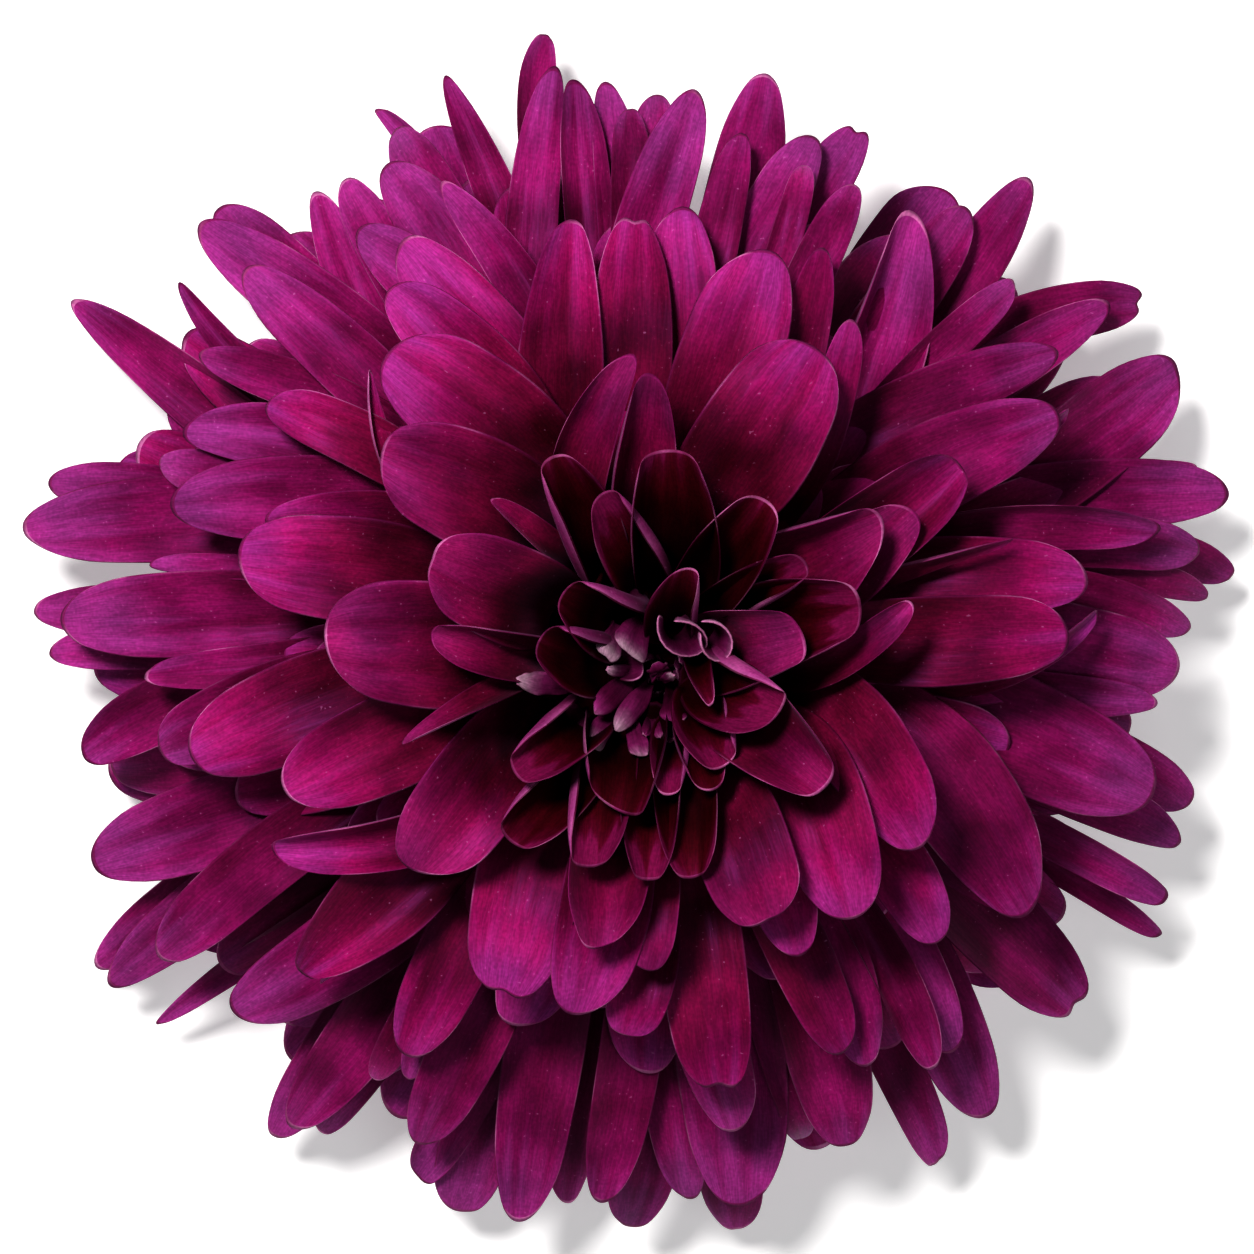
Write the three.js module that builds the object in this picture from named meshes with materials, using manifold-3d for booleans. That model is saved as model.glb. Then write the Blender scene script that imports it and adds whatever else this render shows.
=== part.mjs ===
// Cremon chrysanthemum: the head of a cut bloom, lying face up on its lowest petals.
// Millimetres, +Z up. The origin is under the middle of the bloom, on the surface that it lies on.

import * as THREE from 'three';
import { mergeVertices } from 'three/addons/utils/BufferGeometryUtils.js';
import Module from 'manifold-3d';

const wasm = await Module();
wasm.setup();

// Bloom: tips lie near a dome that falls from the heart to the rim.
const BLOOM_RADIUS = 58.5;
const DOME_TOP = 47;
const DOME_FALL = 41;
const TIP_ARCH = 13;
const CUP_DIP = 4;

// Receptacle: the dome that carries the florets.
const RECEPTACLE_RADIUS = 12;
const RECEPTACLE_FOOT = 17.5;
const RECEPTACLE_RISE = 10.5;
const CORE_BOTTOM = 16.3;
const CORE_SKIN = 4.5;
const CORE_INSET = 0.4;
const CORE_STEPS = 6;
const CORE_SIDES = 24;
const FIRST_POLAR = 26;
const POLAR_SPREAD = 66;
const POLAR_POWER = 0.75;

// Florets: how thick a blade is at its rib, and how far along it its stations lie.
const RIB_THICKNESS = 1.2;
const BLADE_STATIONS = [0.05, 0.38, 0.65, 0.89];
const SHORT_STATIONS = [0.05, 0.5, 0.84];
const NARROW = 6;
const SHORTEST_EDGE = 0.06;
const TOUCHING = 0.003;
const PARTED = 0.02;
const CLAW_WIDTH = 0.34;
const WIDEST_AT = 0.66;
const TAPER_FROM = 0.62;
const CLAW_CHANNEL = 60;
const HOOD_FROM = 0.7;
const BODY_SHARES = [0.3, 0.75];
const SETTLING_PASSES = 6;
const WELD = 1e-4;

// Lower florets: hidden rows under the bloom, by the golden angle. Some lie on the surface.
const GOLDEN_ANGLE = 137.508;
const LOWER_COUNT = 24;
const LOWER_WIDTH = 8.2;
const LOWER_REACH = [43, 50];
const LOWER_TIP = [4, 10];
const LOWER_BASE_HEIGHT = 18.5;
const LOWER_ARCH = 10;
const LOWER_BEND = 0.6;
const LOWER_INSET = 1;
const LOWER_SWAY = 6;
const FOOT_EVERY = 3;
const FOOT_COUNT = 7;
const FOOT_REACH = 49;
const FOOT_BEND = 36;
const FOOT_LIFT = -0.05;

// Heart: young florets on a button, in a well among the cups.
const WELL_FLOOR = 26.6;
const WELL_FOOT_RADIUS = 4.9;
const WELL_RIM_RADIUS = 8.6;
const WELL_RIM = 46;
const CLEARANCE = 0.35;
const BUTTON_RADIUS = 4.3;
const BUTTON_TOP = 30.5;
const BUTTON_CROWN = { share: 0.6, shoulder: 1, rise: 0.4 };
const BUTTON_SIDES = 16;
const WELL_SIDES = 20;
const YOUNG_START = 2;
const YOUNG_LEAN = 0.5;
const YOUNG_SETTLING = 1;
const YOUNG_COUNT = 12;
const YOUNG_WIDTH = 2.6;
const YOUNG_THICKNESS = 1;
const YOUNG_HEIGHT = [36, 39];
const YOUNG_SPREAD = 4.6;
const YOUNG_ROOT = { share: 0.6, height: 28.5 };
const YOUNG_BEND = { share: 1.05, below: 3 };
const YOUNG_TIP = 0.95;

// Involucre: a green cup with three rows of bracts.
const CUP_RIM = 15.95;
const CUP_RADIUS = 11.4;
const CUP_FOOT = 9;
const CUP_FOOT_RADIUS = 3.9;
const CUP_SIDES = 24;
const CUP_BELLY = { share: 0.62, rise: 1.7 };
const CUP_SHOULDER = { share: 0.88, rise: 3.9 };
const BRACT_ROWS = [
  { count: 8, height: 11.6, reach: 10.4, width: 4 },
  { count: 11, height: 13.6, reach: 12.2, width: 4 },
  { count: 13, height: 15.2, reach: 13.1, width: 3.8 },
];
const BRACT_THICKNESS = 1.2;
const BRACT_ROOT = { share: 0.3, rise: 1 };
const BRACT_BEND = { share: 0.86, rise: 0.6 };

// Stem stub: ribbed, cut square just above the surface.
const STEM_RADIUS = 3.1;
const STEM_RIB = 0.22;
const STEM_RIBS = 9;
const STEM_FOOT = 0.8;
const STEM_TOP = 8.7;
const STEM_SIDES = 54;

// The view in which the florets below were read: image pixels, seen almost along the axis.
const PIXEL = 0.09;
const VIEW_MIDDLE = { x: 636, y: 650 };
const VIEW_PLANE = 12;
const VIEW_LEAN = { x: 0.055, y: -0.125 };
const VIEW_DISTANCE = 600;

// How each kind of floret is shaped: the channel at its middle and its tip (half angle in degrees),
// its roll to one side (degrees), how far its tip turns in (share of its length), its width near the
// tip (share of full width) and the length of its rounded end (share of its length).
const FORMS = {
  strap: { middle: 28, tip: 12, roll: 0, hood: -0.03, end: 0.84, round: 0.14 },
  blunt: { middle: 24, tip: 10, roll: 0, hood: -0.04, end: 0.94, round: 0.16 },
  broad: { middle: 16, tip: 8, roll: 0, hood: -0.02, end: 1, round: 0.12 },
  pointed: { middle: 28, tip: 24, roll: 0, hood: 0, end: 0.5, round: 0.08 },
  notched: { middle: 24, tip: 12, roll: 0, hood: -0.03, end: 0.9, round: 0.13 },
  folded: { middle: 75, tip: 60, roll: 0, hood: 0, end: 0.7, round: 0.12 },
  trough: { middle: 80, tip: 60, roll: 0, hood: 0, end: 0.7, round: 0.12 },
  edge: { middle: 40, tip: 30, roll: 55, hood: 0, end: 0.7, round: 0.12 },
  hooked: { middle: 40, tip: 30, roll: 0, hood: 0.1, end: 0.5, round: 0.1 },
  arched: { middle: 40, tip: 30, roll: 20, hood: -0.05, end: 0.7, round: 0.1 },
  lilac: { middle: 30, tip: 20, roll: 0, hood: 0.04, end: 0.8, round: 0.14 },
  cupped: { middle: 46, tip: 50, roll: 0, hood: 0.08, end: 0.86, round: 0.2 },
  hooded: { middle: 46, tip: 60, roll: 0, hood: 0.16, end: 0.88, round: 0.24 },
  cup_open: { middle: 62, tip: 66, roll: 0, hood: 0.14, end: 0.95, round: 0.25 },
  cup_point: { middle: 62, tip: 66, roll: 0, hood: 0.14, end: 0.74, round: 0.16 },
  cup_left: { middle: 64, tip: 70, roll: 0, hood: 0.14, end: 0.84, round: 0.2 },
  cup_right: { middle: 64, tip: 70, roll: 0, hood: 0.14, end: 0.84, round: 0.2 },
  cup_turned_left: { middle: 70, tip: 76, roll: 0, hood: 0.14, end: 0.86, round: 0.2 },
  cup_turned_right: { middle: 70, tip: 76, roll: 0, hood: 0.14, end: 0.86, round: 0.2 },
  deep_hood: { middle: 58, tip: 76, roll: 0, hood: 0.24, end: 1, round: 0.28 },
  foot: { middle: 12, tip: 6, roll: 0, hood: 0, end: 0.9, round: 0.17 },
  bud: { middle: 70, tip: 80, roll: 0, hood: 0.14, end: 0.8, round: 0.2 },
};

// The florets that show, one row each: tip x and y, a point on the body x and y, width (all in pixels
// of that view), how far the tip lies above the dome (mm), and the form.
const FLORETS = [
  // left and upper left, outer
  [76, 296, 200, 395, 72, 1, 'pointed'], [222, 204, 310, 290, 66, -2, 'strap'],
  [200, 222, 330, 315, 74, 2, 'strap'], [181, 279, 235, 348, 32, -3, 'hooked'],
  [245, 267, 340, 350, 70, 2, 'strap'], [200, 352, 310, 385, 52, -1, 'strap'],
  [378, 108, 432, 175, 32, -3, 'hooked'], [395, 130, 440, 200, 60, -1, 'strap'],
  [345, 178, 400, 270, 54, -4, 'strap'], [320, 188, 372, 320, 56, -3, 'strap'],
  [388, 162, 450, 243, 76, 1, 'blunt'], [358, 228, 440, 290, 70, 1, 'strap'],
  [400, 240, 500, 360, 92, 3, 'blunt'], [390, 285, 465, 350, 80, 4, 'strap'],
  [388, 348, 505, 430, 110, 5, 'blunt'], [372, 366, 380, 440, 26, 0, 'edge'],
  [184, 425, 310, 435, 66, 2, 'strap'], [268, 398, 350, 430, 58, 3, 'strap'],
  [161, 464, 230, 470, 50, -1, 'strap'], [25, 530, 170, 512, 88, 1, 'strap'],
  [50, 482, 170, 490, 60, -2, 'strap'], [150, 560, 235, 562, 26, -4, 'strap'],
  [170, 502, 330, 495, 92, 3, 'strap'], [265, 520, 370, 515, 60, 3, 'blunt'],
  [237, 555, 380, 570, 106, 5, 'blunt'], [323, 638, 460, 638, 126, 6, 'blunt'],
  [60, 617, 200, 608, 88, 1, 'strap'], [34, 608, 150, 605, 60, -2, 'strap'],
  [49, 648, 160, 640, 50, -4, 'strap'], [143, 672, 290, 660, 46, 0, 'arched'],
  [82, 755, 170, 705, 70, 0, 'lilac'], [158, 748, 240, 705, 72, 0, 'strap'],
  [189, 756, 300, 705, 100, 2, 'blunt'], [282, 790, 380, 740, 100, 4, 'blunt'],
  [400, 742, 480, 700, 34, 6, 'edge'],
  // lower left
  [88, 860, 230, 810, 92, 1, 'strap'], [92, 968, 200, 885, 60, -2, 'strap'],
  [104, 985, 230, 880, 66, 0, 'strap'], [155, 958, 250, 870, 70, 2, 'strap'],
  [153, 1027, 210, 990, 30, -4, 'hooked'], [269, 848, 380, 840, 52, 3, 'trough'],
  [298, 975, 370, 905, 100, 3, 'pointed'], [317, 985, 370, 930, 24, -1, 'edge'],
  [232, 1018, 340, 950, 90, 0, 'strap'], [272, 1145, 330, 1050, 60, -2, 'strap'],
  [287, 1135, 370, 1020, 76, 0, 'strap'], [315, 1137, 360, 1080, 40, -5, 'strap'],
  [372, 1085, 400, 1030, 36, -5, 'strap'], [405, 1085, 430, 1020, 36, -4, 'strap'],
  [412, 872, 470, 790, 100, 5, 'blunt'], [404, 1062, 450, 960, 76, 0, 'strap'],
  [500, 1002, 525, 890, 106, 4, 'notched'], [418, 1153, 460, 1060, 76, 0, 'strap'],
  [415, 1187, 455, 1120, 56, -4, 'lilac'], [455, 1222, 480, 1130, 76, -3, 'strap'],
  [520, 1235, 540, 1080, 82, 1, 'strap'], [565, 1215, 575, 1120, 50, -5, 'strap'],
  [600, 1216, 625, 1080, 64, 1, 'strap'], [628, 1240, 650, 1140, 72, -3, 'strap'],
  [690, 1212, 672, 1110, 62, -2, 'strap'], [743, 1222, 730, 1060, 112, 1, 'strap'],
  [738, 1245, 730, 1160, 72, -4, 'strap'], [738, 1142, 710, 1040, 72, 0, 'strap'],
  [720, 1102, 705, 980, 86, 3, 'notched'], [625, 1042, 640, 990, 66, 2, 'blunt'],
  [575, 1021, 600, 920, 90, 4, 'blunt'], [600, 952, 605, 890, 82, 5, 'cupped'],
  [645, 975, 650, 910, 56, 2, 'strap'],
  // lower right
  [770, 928, 735, 830, 96, 5, 'broad'], [800, 963, 775, 880, 70, 2, 'strap'],
  [848, 1062, 805, 970, 66, 1, 'strap'], [870, 1077, 845, 980, 62, 0, 'strap'],
  [855, 925, 820, 810, 98, 5, 'blunt'], [942, 950, 905, 880, 66, 2, 'strap'],
  [938, 1080, 895, 980, 42, 2, 'trough'], [957, 1064, 910, 960, 62, 0, 'strap'],
  [943, 1177, 905, 1090, 50, -1, 'trough'], [805, 1150, 790, 1100, 36, -5, 'strap'],
  [850, 1160, 830, 1060, 86, -1, 'strap'], [988, 1133, 935, 1000, 82, 0, 'strap'],
  [1088, 1022, 990, 920, 96, 0, 'notched'], [1036, 921, 930, 760, 112, 3, 'blunt'],
  [1175, 909, 1060, 845, 40, 0, 'folded'], [1168, 947, 1070, 880, 30, -2, 'folded'],
  [1188, 850, 1090, 800, 56, -1, 'strap'], [1197, 812, 1110, 760, 62, -2, 'strap'],
  [1161, 803, 1010, 730, 112, 2, 'blunt'], [925, 852, 850, 730, 94, 5, 'blunt'],
  [830, 790, 780, 745, 86, 5, 'hooded'], [1163, 706, 1050, 695, 44, 0, 'strap'],
  // right
  [1184, 677, 1070, 650, 96, 1, 'strap'], [1192, 638, 1110, 600, 52, -1, 'strap'],
  [1213, 600, 1130, 575, 38, -3, 'strap'], [1237, 582, 1150, 550, 48, -4, 'strap'],
  [1203, 558, 1110, 540, 56, -1, 'strap'], [1163, 535, 1040, 525, 44, 1, 'trough'],
  [1234, 495, 1050, 500, 76, 1, 'strap'], [1200, 472, 1100, 480, 30, -3, 'strap'],
  [1092, 580, 960, 575, 78, 4, 'blunt'], [1100, 612, 1040, 660, 30, 1, 'edge'],
  [1073, 636, 930, 640, 92, 5, 'blunt'], [1015, 541, 940, 560, 24, 3, 'edge'],
  [1182, 370, 1075, 450, 96, 0, 'strap'], [1062, 415, 950, 460, 92, 3, 'blunt'],
  [1070, 410, 1020, 450, 24, 0, 'edge'], [1060, 352, 920, 400, 64, 3, 'strap'],
  [1112, 305, 1000, 370, 62, 1, 'lilac'], [1146, 305, 1040, 320, 62, -1, 'notched'],
  [1015, 283, 950, 340, 42, -1, 'strap'], [1030, 178, 930, 320, 66, 0, 'strap'],
  [968, 208, 900, 300, 62, -2, 'strap'], [915, 209, 880, 340, 82, 1, 'hooded'],
  // top
  [860, 126, 800, 220, 58, -2, 'notched'], [812, 135, 760, 230, 62, -1, 'strap'],
  [803, 165, 790, 220, 32, 0, 'strap'], [855, 184, 815, 260, 48, 1, 'strap'],
  [822, 246, 800, 350, 52, 2, 'strap'], [853, 318, 825, 420, 48, 4, 'strap'],
  [815, 345, 740, 460, 122, 6, 'blunt'], [763, 247, 720, 380, 102, 4, 'blunt'],
  [765, 73, 740, 200, 76, 1, 'blunt'], [740, 132, 715, 240, 48, 1, 'strap'],
  [698, 90, 650, 220, 68, 2, 'strap'], [657, 94, 650, 180, 56, -3, 'strap'],
  [606, 81, 620, 200, 52, -1, 'strap'], [630, 108, 630, 180, 42, -1, 'strap'],
  [577, 79, 590, 230, 48, 1, 'folded'], [555, 65, 530, 250, 54, 2, 'strap'],
  [547, 34, 540, 110, 40, -3, 'lilac'], [446, 75, 500, 200, 48, -1, 'pointed'],
  [441, 181, 505, 260, 48, 2, 'hooked'], [570, 217, 560, 370, 86, 3, 'pointed'],
  [635, 211, 630, 350, 82, 2, 'notched'], [678, 205, 680, 330, 78, 0, 'strap'],
  [630, 350, 585, 450, 56, 6, 'hooded'], [650, 369, 640, 460, 62, 5, 'hooded'],
  // cups round the heart
  [668, 446, 672, 540, 82, 3, 'cup_open'], [552, 452, 590, 545, 60, 3, 'cup_turned_left'],
  [601, 490, 645, 560, 58, 1, 'cup_turned_right'], [490, 496, 550, 545, 30, 3, 'edge'],
  [428, 555, 540, 600, 100, 5, 'broad'], [430, 630, 520, 650, 46, 3, 'trough'],
  [380, 452, 500, 500, 112, 6, 'blunt'], [765, 496, 710, 580, 70, 3, 'cup_open'],
  [885, 520, 810, 560, 104, 4, 'hooded'], [913, 508, 850, 560, 80, 2, 'hooded'],
  [960, 462, 890, 520, 82, 3, 'folded'], [806, 560, 750, 595, 44, 2, 'cup_turned_right'],
  [864, 608, 790, 625, 84, 3, 'cup_open'], [913, 602, 840, 660, 34, 3, 'trough'],
  [562, 590, 612, 612, 68, 1, 'cup_right'], [684, 566, 675, 620, 52, 1, 'cup_turned_right'],
  [540, 634, 590, 650, 62, 1, 'cup_right'], [513, 773, 560, 735, 54, 3, 'cup_right'],
  [508, 843, 560, 785, 58, 3, 'cup_right'], [588, 870, 597, 800, 62, 3, 'cup_right'],
  [647, 884, 650, 815, 58, 3, 'cup_point'], [692, 882, 687, 815, 60, 3, 'cup_point'],
  [614, 811, 622, 765, 80, 1, 'cup_open'], [668, 797, 674, 752, 40, 0, 'cup_turned_left'],
  [710, 793, 700, 755, 46, 0, 'cup_open'], [725, 768, 711, 726, 60, 0, 'cup_turned_left'],
  [783, 709, 740, 688, 68, 2, 'cup_left'], [806, 634, 756, 647, 80, 2, 'deep_hood'],
  [712, 705, 700, 672, 28, 0, 'arched'],
];

// The young florets of the heart, in rows of the same kind.
const HEART_FLORETS = [
  [622, 642, 640, 668, 34, -5, 'bud'], [590, 708, 618, 700, 30, -5, 'bud'],
  [615, 725, 634, 712, 28, -6, 'bud'], [592, 747, 622, 724, 28, -6, 'bud'],
  [660, 672, 658, 684, 24, -6, 'bud'], [670, 720, 664, 710, 26, -6, 'bud'],
  [636, 751, 646, 728, 28, -6, 'bud'], [700, 668, 680, 682, 28, -6, 'bud'],
  [640, 690, 648, 692, 24, -5, 'bud'], [690, 745, 674, 722, 26, -7, 'bud'],
];

const rad = THREE.MathUtils.degToRad;

// A seeded draw between 0 and 1, the same on every run.
function seededDraw(seed) {
  let state = seed;
  return () => {
    state = (Math.imul(state, 1664525) + 1013904223) >>> 0;
    return state / 4294967296;
  };
}

function ease(value) {
  const u = THREE.MathUtils.clamp(value, 0, 1);
  return u * u * (3 - 2 * u);
}

function viewScale(height) {
  return PIXEL * (1 - (height - VIEW_PLANE) / VIEW_DISTANCE);
}

// The point at a height that shows at pixel (px, py).
function fromView(px, py, height) {
  const scale = viewScale(height);
  const rise = height - VIEW_PLANE;
  const x = (px - VIEW_MIDDLE.x) * scale - VIEW_LEAN.x * rise;
  const y = (VIEW_MIDDLE.y - py) * scale - VIEW_LEAN.y * rise;
  return new THREE.Vector3(x, y, height);
}

function domeHeight(reach) {
  return DOME_TOP - DOME_FALL * (reach / BLOOM_RADIUS) ** 2;
}

// A tip lies on the dome, so its height and its place are settled together.
function tipPoint(px, py, lift) {
  let tip = fromView(px, py, VIEW_PLANE);
  for (let pass = 0; pass < SETTLING_PASSES; pass += 1) {
    tip = fromView(px, py, domeHeight(Math.hypot(tip.x, tip.y)) + lift);
  }
  return tip;
}

function bezier(curve, t) {
  const u = 1 - t;
  return new THREE.Vector3()
    .addScaledVector(curve.base, u * u)
    .addScaledVector(curve.bend, 2 * t * u)
    .addScaledVector(curve.tip, t * t);
}

function bezierDirection(curve, t) {
  return new THREE.Vector3()
    .addScaledVector(curve.bend.clone().sub(curve.base), 1 - t)
    .addScaledVector(curve.tip.clone().sub(curve.bend), t)
    .normalize();
}

// The centre line of a floret that shows: from the receptacle, over its body point, to its tip.
function visibleCurve([tipX, tipY, bodyX, bodyY, , lift]) {
  const tip = tipPoint(tipX, tipY, lift);
  const share = Math.min(Math.hypot(tip.x, tip.y) / BLOOM_RADIUS, 1);
  const polar = rad(FIRST_POLAR + POLAR_SPREAD * share ** POLAR_POWER);
  const baseHeight = RECEPTACLE_FOOT + RECEPTACLE_RISE * Math.cos(polar);
  const baseReach = RECEPTACLE_RADIUS * Math.sin(polar);
  const bendHeight = tip.z + TIP_ARCH * share ** 2 - CUP_DIP * (1 - share);

  const near = fromView(bodyX, bodyY, (baseHeight + tip.z) / 2);
  const inner = Math.hypot(near.x, near.y);
  const outer = Math.hypot(tip.x - near.x, tip.y - near.y);
  const t = THREE.MathUtils.clamp(inner / (inner + outer), ...BODY_SHARES);
  const u = 1 - t;
  const bodyHeight = u * u * baseHeight + 2 * t * u * bendHeight + t * t * tip.z;
  const body = fromView(bodyX, bodyY, bodyHeight);
  const clock = Math.atan2(body.y, body.x);
  const base = new THREE.Vector3(baseReach * Math.cos(clock), baseReach * Math.sin(clock), baseHeight);
  const bend = body.clone()
    .addScaledVector(base, -u * u)
    .addScaledVector(tip, -t * t)
    .divideScalar(2 * t * u);
  return { base, bend, tip };
}

// The tip given is where the floret ends after its hood has turned it in.
function settleHood({ base, bend, tip }, form, passes) {
  let settled = { base, bend, tip };
  for (let pass = 0; pass < passes; pass += 1) {
    const { normal } = frameAt(settled, 1);
    const turn = form.hood * curveLength(settled);
    settled = { base, bend, tip: tip.clone().addScaledVector(normal, -turn) };
  }
  return settled;
}

function curveLength(curve) {
  return (curve.base.distanceTo(curve.bend) + curve.bend.distanceTo(curve.tip)
    + curve.base.distanceTo(curve.tip)) / 2;
}

// Along, across and up from a floret's face, with no roll.
function frameAt(curve, t) {
  const along = bezierDirection(curve, t);
  const across = new THREE.Vector3(-along.y, along.x, 0).normalize();
  const normal = along.clone().cross(across);
  return { along, across, normal };
}

// Half the width at t as a share of the full half width: a narrow claw, a taper and a round end.
function widthShare(form, t) {
  let share = CLAW_WIDTH + (1 - CLAW_WIDTH) * ease(t / WIDEST_AT);
  if (t > TAPER_FROM) {
    share *= 1 - (1 - form.end) * ((t - TAPER_FROM) / (1 - TAPER_FROM)) ** 2;
  }
  const round = (t - 1 + form.round) / form.round;
  return round > 0 ? share * Math.sqrt(1 - Math.min(round, 1) ** 2) : share;
}

function channelAt(form, t) {
  const degrees = t < 0.5
    ? THREE.MathUtils.lerp(CLAW_CHANNEL, form.middle, ease(t / 0.5))
    : THREE.MathUtils.lerp(form.middle, form.tip, ease((t - 0.5) / 0.5));
  return rad(degrees);
}

// A blade is a closed strip with four corners at each station: both edges, and the rib above and
// below. It starts on a flat end inside what it grows from and closes on its tip.
function bladeGeometry(curve, width, form, options = {}) {
  const { thickness = RIB_THICKNESS, stations = SHORT_STATIONS, settling = SETTLING_PASSES } = options;
  const settled = settleHood(curve, form, settling);
  const length = curveLength(settled);
  const seen = rad(form.middle);
  const flatWidth = width * seen / Math.sin(seen);
  const points = [];
  for (const t of stations) {
    const { across, normal } = frameAt(settled, t);
    const roll = rad(form.roll) * ease(t);
    const side = across.clone().multiplyScalar(Math.cos(roll)).addScaledVector(normal, Math.sin(roll));
    const face = normal.clone().multiplyScalar(Math.cos(roll)).addScaledVector(across, -Math.sin(roll));
    const channel = channelAt(form, t);
    const bow = flatWidth / 2 * widthShare(form, t) / channel;
    const hood = form.hood * length * Math.max(0, (t - HOOD_FROM) / (1 - HOOD_FROM)) ** 2;
    const rib = bezier(settled, t).addScaledVector(normal, hood);
    const edgeOut = bow * Math.sin(channel);
    const edgeUp = bow * (1 - Math.cos(channel));
    points.push(rib.clone().addScaledVector(side, edgeOut).addScaledVector(face, edgeUp));
    points.push(rib.clone().addScaledVector(face, thickness / 2));
    points.push(rib.clone().addScaledVector(side, -edgeOut).addScaledVector(face, edgeUp));
    points.push(rib.clone().addScaledVector(face, -thickness / 2));
  }
  points.push(curve.tip.clone());
  return stripGeometry(points, stations.length);
}

// Joins stations of four corners into a closed body. Both faces are split alike.
function stripGeometry(points, stations) {
  const faces = [];
  const tip = stations * 4;
  for (let station = 0; station < stations; station += 1) {
    const here = station * 4;
    for (let corner = 0; corner < 4; corner += 1) {
      const next = (corner + 1) % 4;
      const a = here + corner;
      const b = here + next;
      if (station === stations - 1) {
        faces.push(a, b, tip);
      } else if (corner % 2 === 0) {
        faces.push(a, b, b + 4, a, b + 4, a + 4);
      } else {
        faces.push(a, b, a + 4, b, b + 4, a + 4);
      }
    }
  }
  faces.push(0, 2, 1, 0, 3, 2);
  return indexedGeometry(points.flatMap((point) => point.toArray()), faces);
}

function indexedGeometry(positions, faces) {
  const geometry = new THREE.BufferGeometry();
  geometry.setAttribute('position', new THREE.Float32BufferAttribute(positions, 3));
  geometry.setIndex(faces);
  return geometry;
}

// Solids for joining and cutting.
function toSolid(geometry) {
  const bare = geometry.clone();
  bare.deleteAttribute('normal');
  bare.deleteAttribute('uv');
  const merged = mergeVertices(bare, WELD);
  const vertProperties = new Float32Array(merged.attributes.position.array);
  const triVerts = new Uint32Array(merged.index.array);
  return new wasm.Manifold(new wasm.Mesh({ numProp: 3, vertProperties, triVerts }));
}

function fuse(geometries) {
  return geometries.map(toSolid).reduce((sum, solid) => sum.add(solid));
}

// The outer skin alone: scraps that came loose and hollows that fusing sealed are left out.
function outerSkin(solid) {
  const mesh = solid.getMesh();
  const owner = Array.from({ length: mesh.vertProperties.length / 3 }, (_, index) => index);
  const root = (index) => {
    let at = index;
    while (owner[at] !== at) {
      owner[at] = owner[owner[at]];
      at = owner[at];
    }
    return at;
  };
  const faces = mesh.triVerts;
  for (let k = 0; k < faces.length; k += 3) {
    owner[root(faces[k])] = root(faces[k + 1]);
    owner[root(faces[k + 1])] = root(faces[k + 2]);
  }
  const counts = new Map();
  for (let k = 0; k < faces.length; k += 3) {
    counts.set(root(faces[k]), (counts.get(root(faces[k])) ?? 0) + 1);
  }
  const largest = [...counts].sort((a, b) => b[1] - a[1])[0][0];
  const kept = [];
  for (let k = 0; k < faces.length; k += 3) {
    if (root(faces[k]) === largest) {
      kept.push(faces[k], faces[k + 1], faces[k + 2]);
    }
  }
  const positions = [...mesh.vertProperties];
  const closed = closeShortEdges(positions, kept);
  partTouchingCorners(positions, closed);
  const skin = indexedGeometry(positions, closed);
  skin.computeVertexNormals();
  return skin;
}

// Two corners of the skin that only touch are drawn a little apart, each towards its own neighbours.
function partTouchingCorners(positions, faces) {
  const middles = new Map();
  for (let k = 0; k < faces.length; k += 3) {
    const middle = [0, 1, 2].map((axis) => {
      return [0, 1, 2].reduce((sum, side) => sum + positions[3 * faces[k + side] + axis], 0) / 3;
    });
    for (let side = 0; side < 3; side += 1) {
      const vertex = faces[k + side];
      middles.set(vertex, [...(middles.get(vertex) ?? []), middle]);
    }
  }
  const order = [...middles.keys()].sort((a, b) => positions[3 * a] - positions[3 * b]);
  for (let first = 0; first < order.length; first += 1) {
    const here = new THREE.Vector3().fromArray(positions, 3 * order[first]);
    for (let second = first + 1; second < order.length; second += 1) {
      const there = new THREE.Vector3().fromArray(positions, 3 * order[second]);
      if (there.x - here.x > TOUCHING) {
        break;
      }
      if (here.distanceTo(there) < TOUCHING) {
        const towards = new THREE.Vector3();
        for (const middle of middles.get(order[second])) {
          towards.add(new THREE.Vector3(...middle).sub(there));
        }
        there.addScaledVector(towards.normalize(), PARTED);
        there.toArray(positions, 3 * order[second]);
      }
    }
  }
}

// Draws the two ends of every very short edge together, where the skin stays closed: the two ends
// may share only the two corners of the faces on either side of their edge.
function closeShortEdges(positions, faces) {
  const touching = new Map();
  const link = (vertex, face) => {
    if (!touching.has(vertex)) {
      touching.set(vertex, new Set());
    }
    touching.get(vertex).add(face);
  };
  const corners = [];
  for (let k = 0; k < faces.length; k += 3) {
    corners.push([faces[k], faces[k + 1], faces[k + 2]]);
    corners.at(-1).forEach((vertex) => link(vertex, corners.length - 1));
  }
  const point = (vertex) => new THREE.Vector3().fromArray(positions, 3 * vertex);
  const around = (vertex) => {
    const near = new Set([...touching.get(vertex)].flatMap((face) => corners[face]));
    near.delete(vertex);
    return near;
  };
  for (let face = 0; face < corners.length; face += 1) {
    for (let side = 0; side < 3 && corners[face]; side += 1) {
      const kept = corners[face][side];
      const gone = corners[face][(side + 1) % 3];
      if (point(kept).distanceTo(point(gone)) > SHORTEST_EDGE) {
        continue;
      }
      const shared = [...around(kept)].filter((vertex) => around(gone).has(vertex));
      if (shared.length !== 2) {
        continue;
      }
      for (const other of [...touching.get(gone)]) {
        if (corners[other].includes(kept)) {
          corners[other].forEach((vertex) => touching.get(vertex).delete(other));
          corners[other] = null;
        } else {
          corners[other] = corners[other].map((vertex) => (vertex === gone ? kept : vertex));
          link(kept, other);
        }
      }
      touching.delete(gone);
    }
  }
  return corners.filter(Boolean).flat();
}

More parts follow.
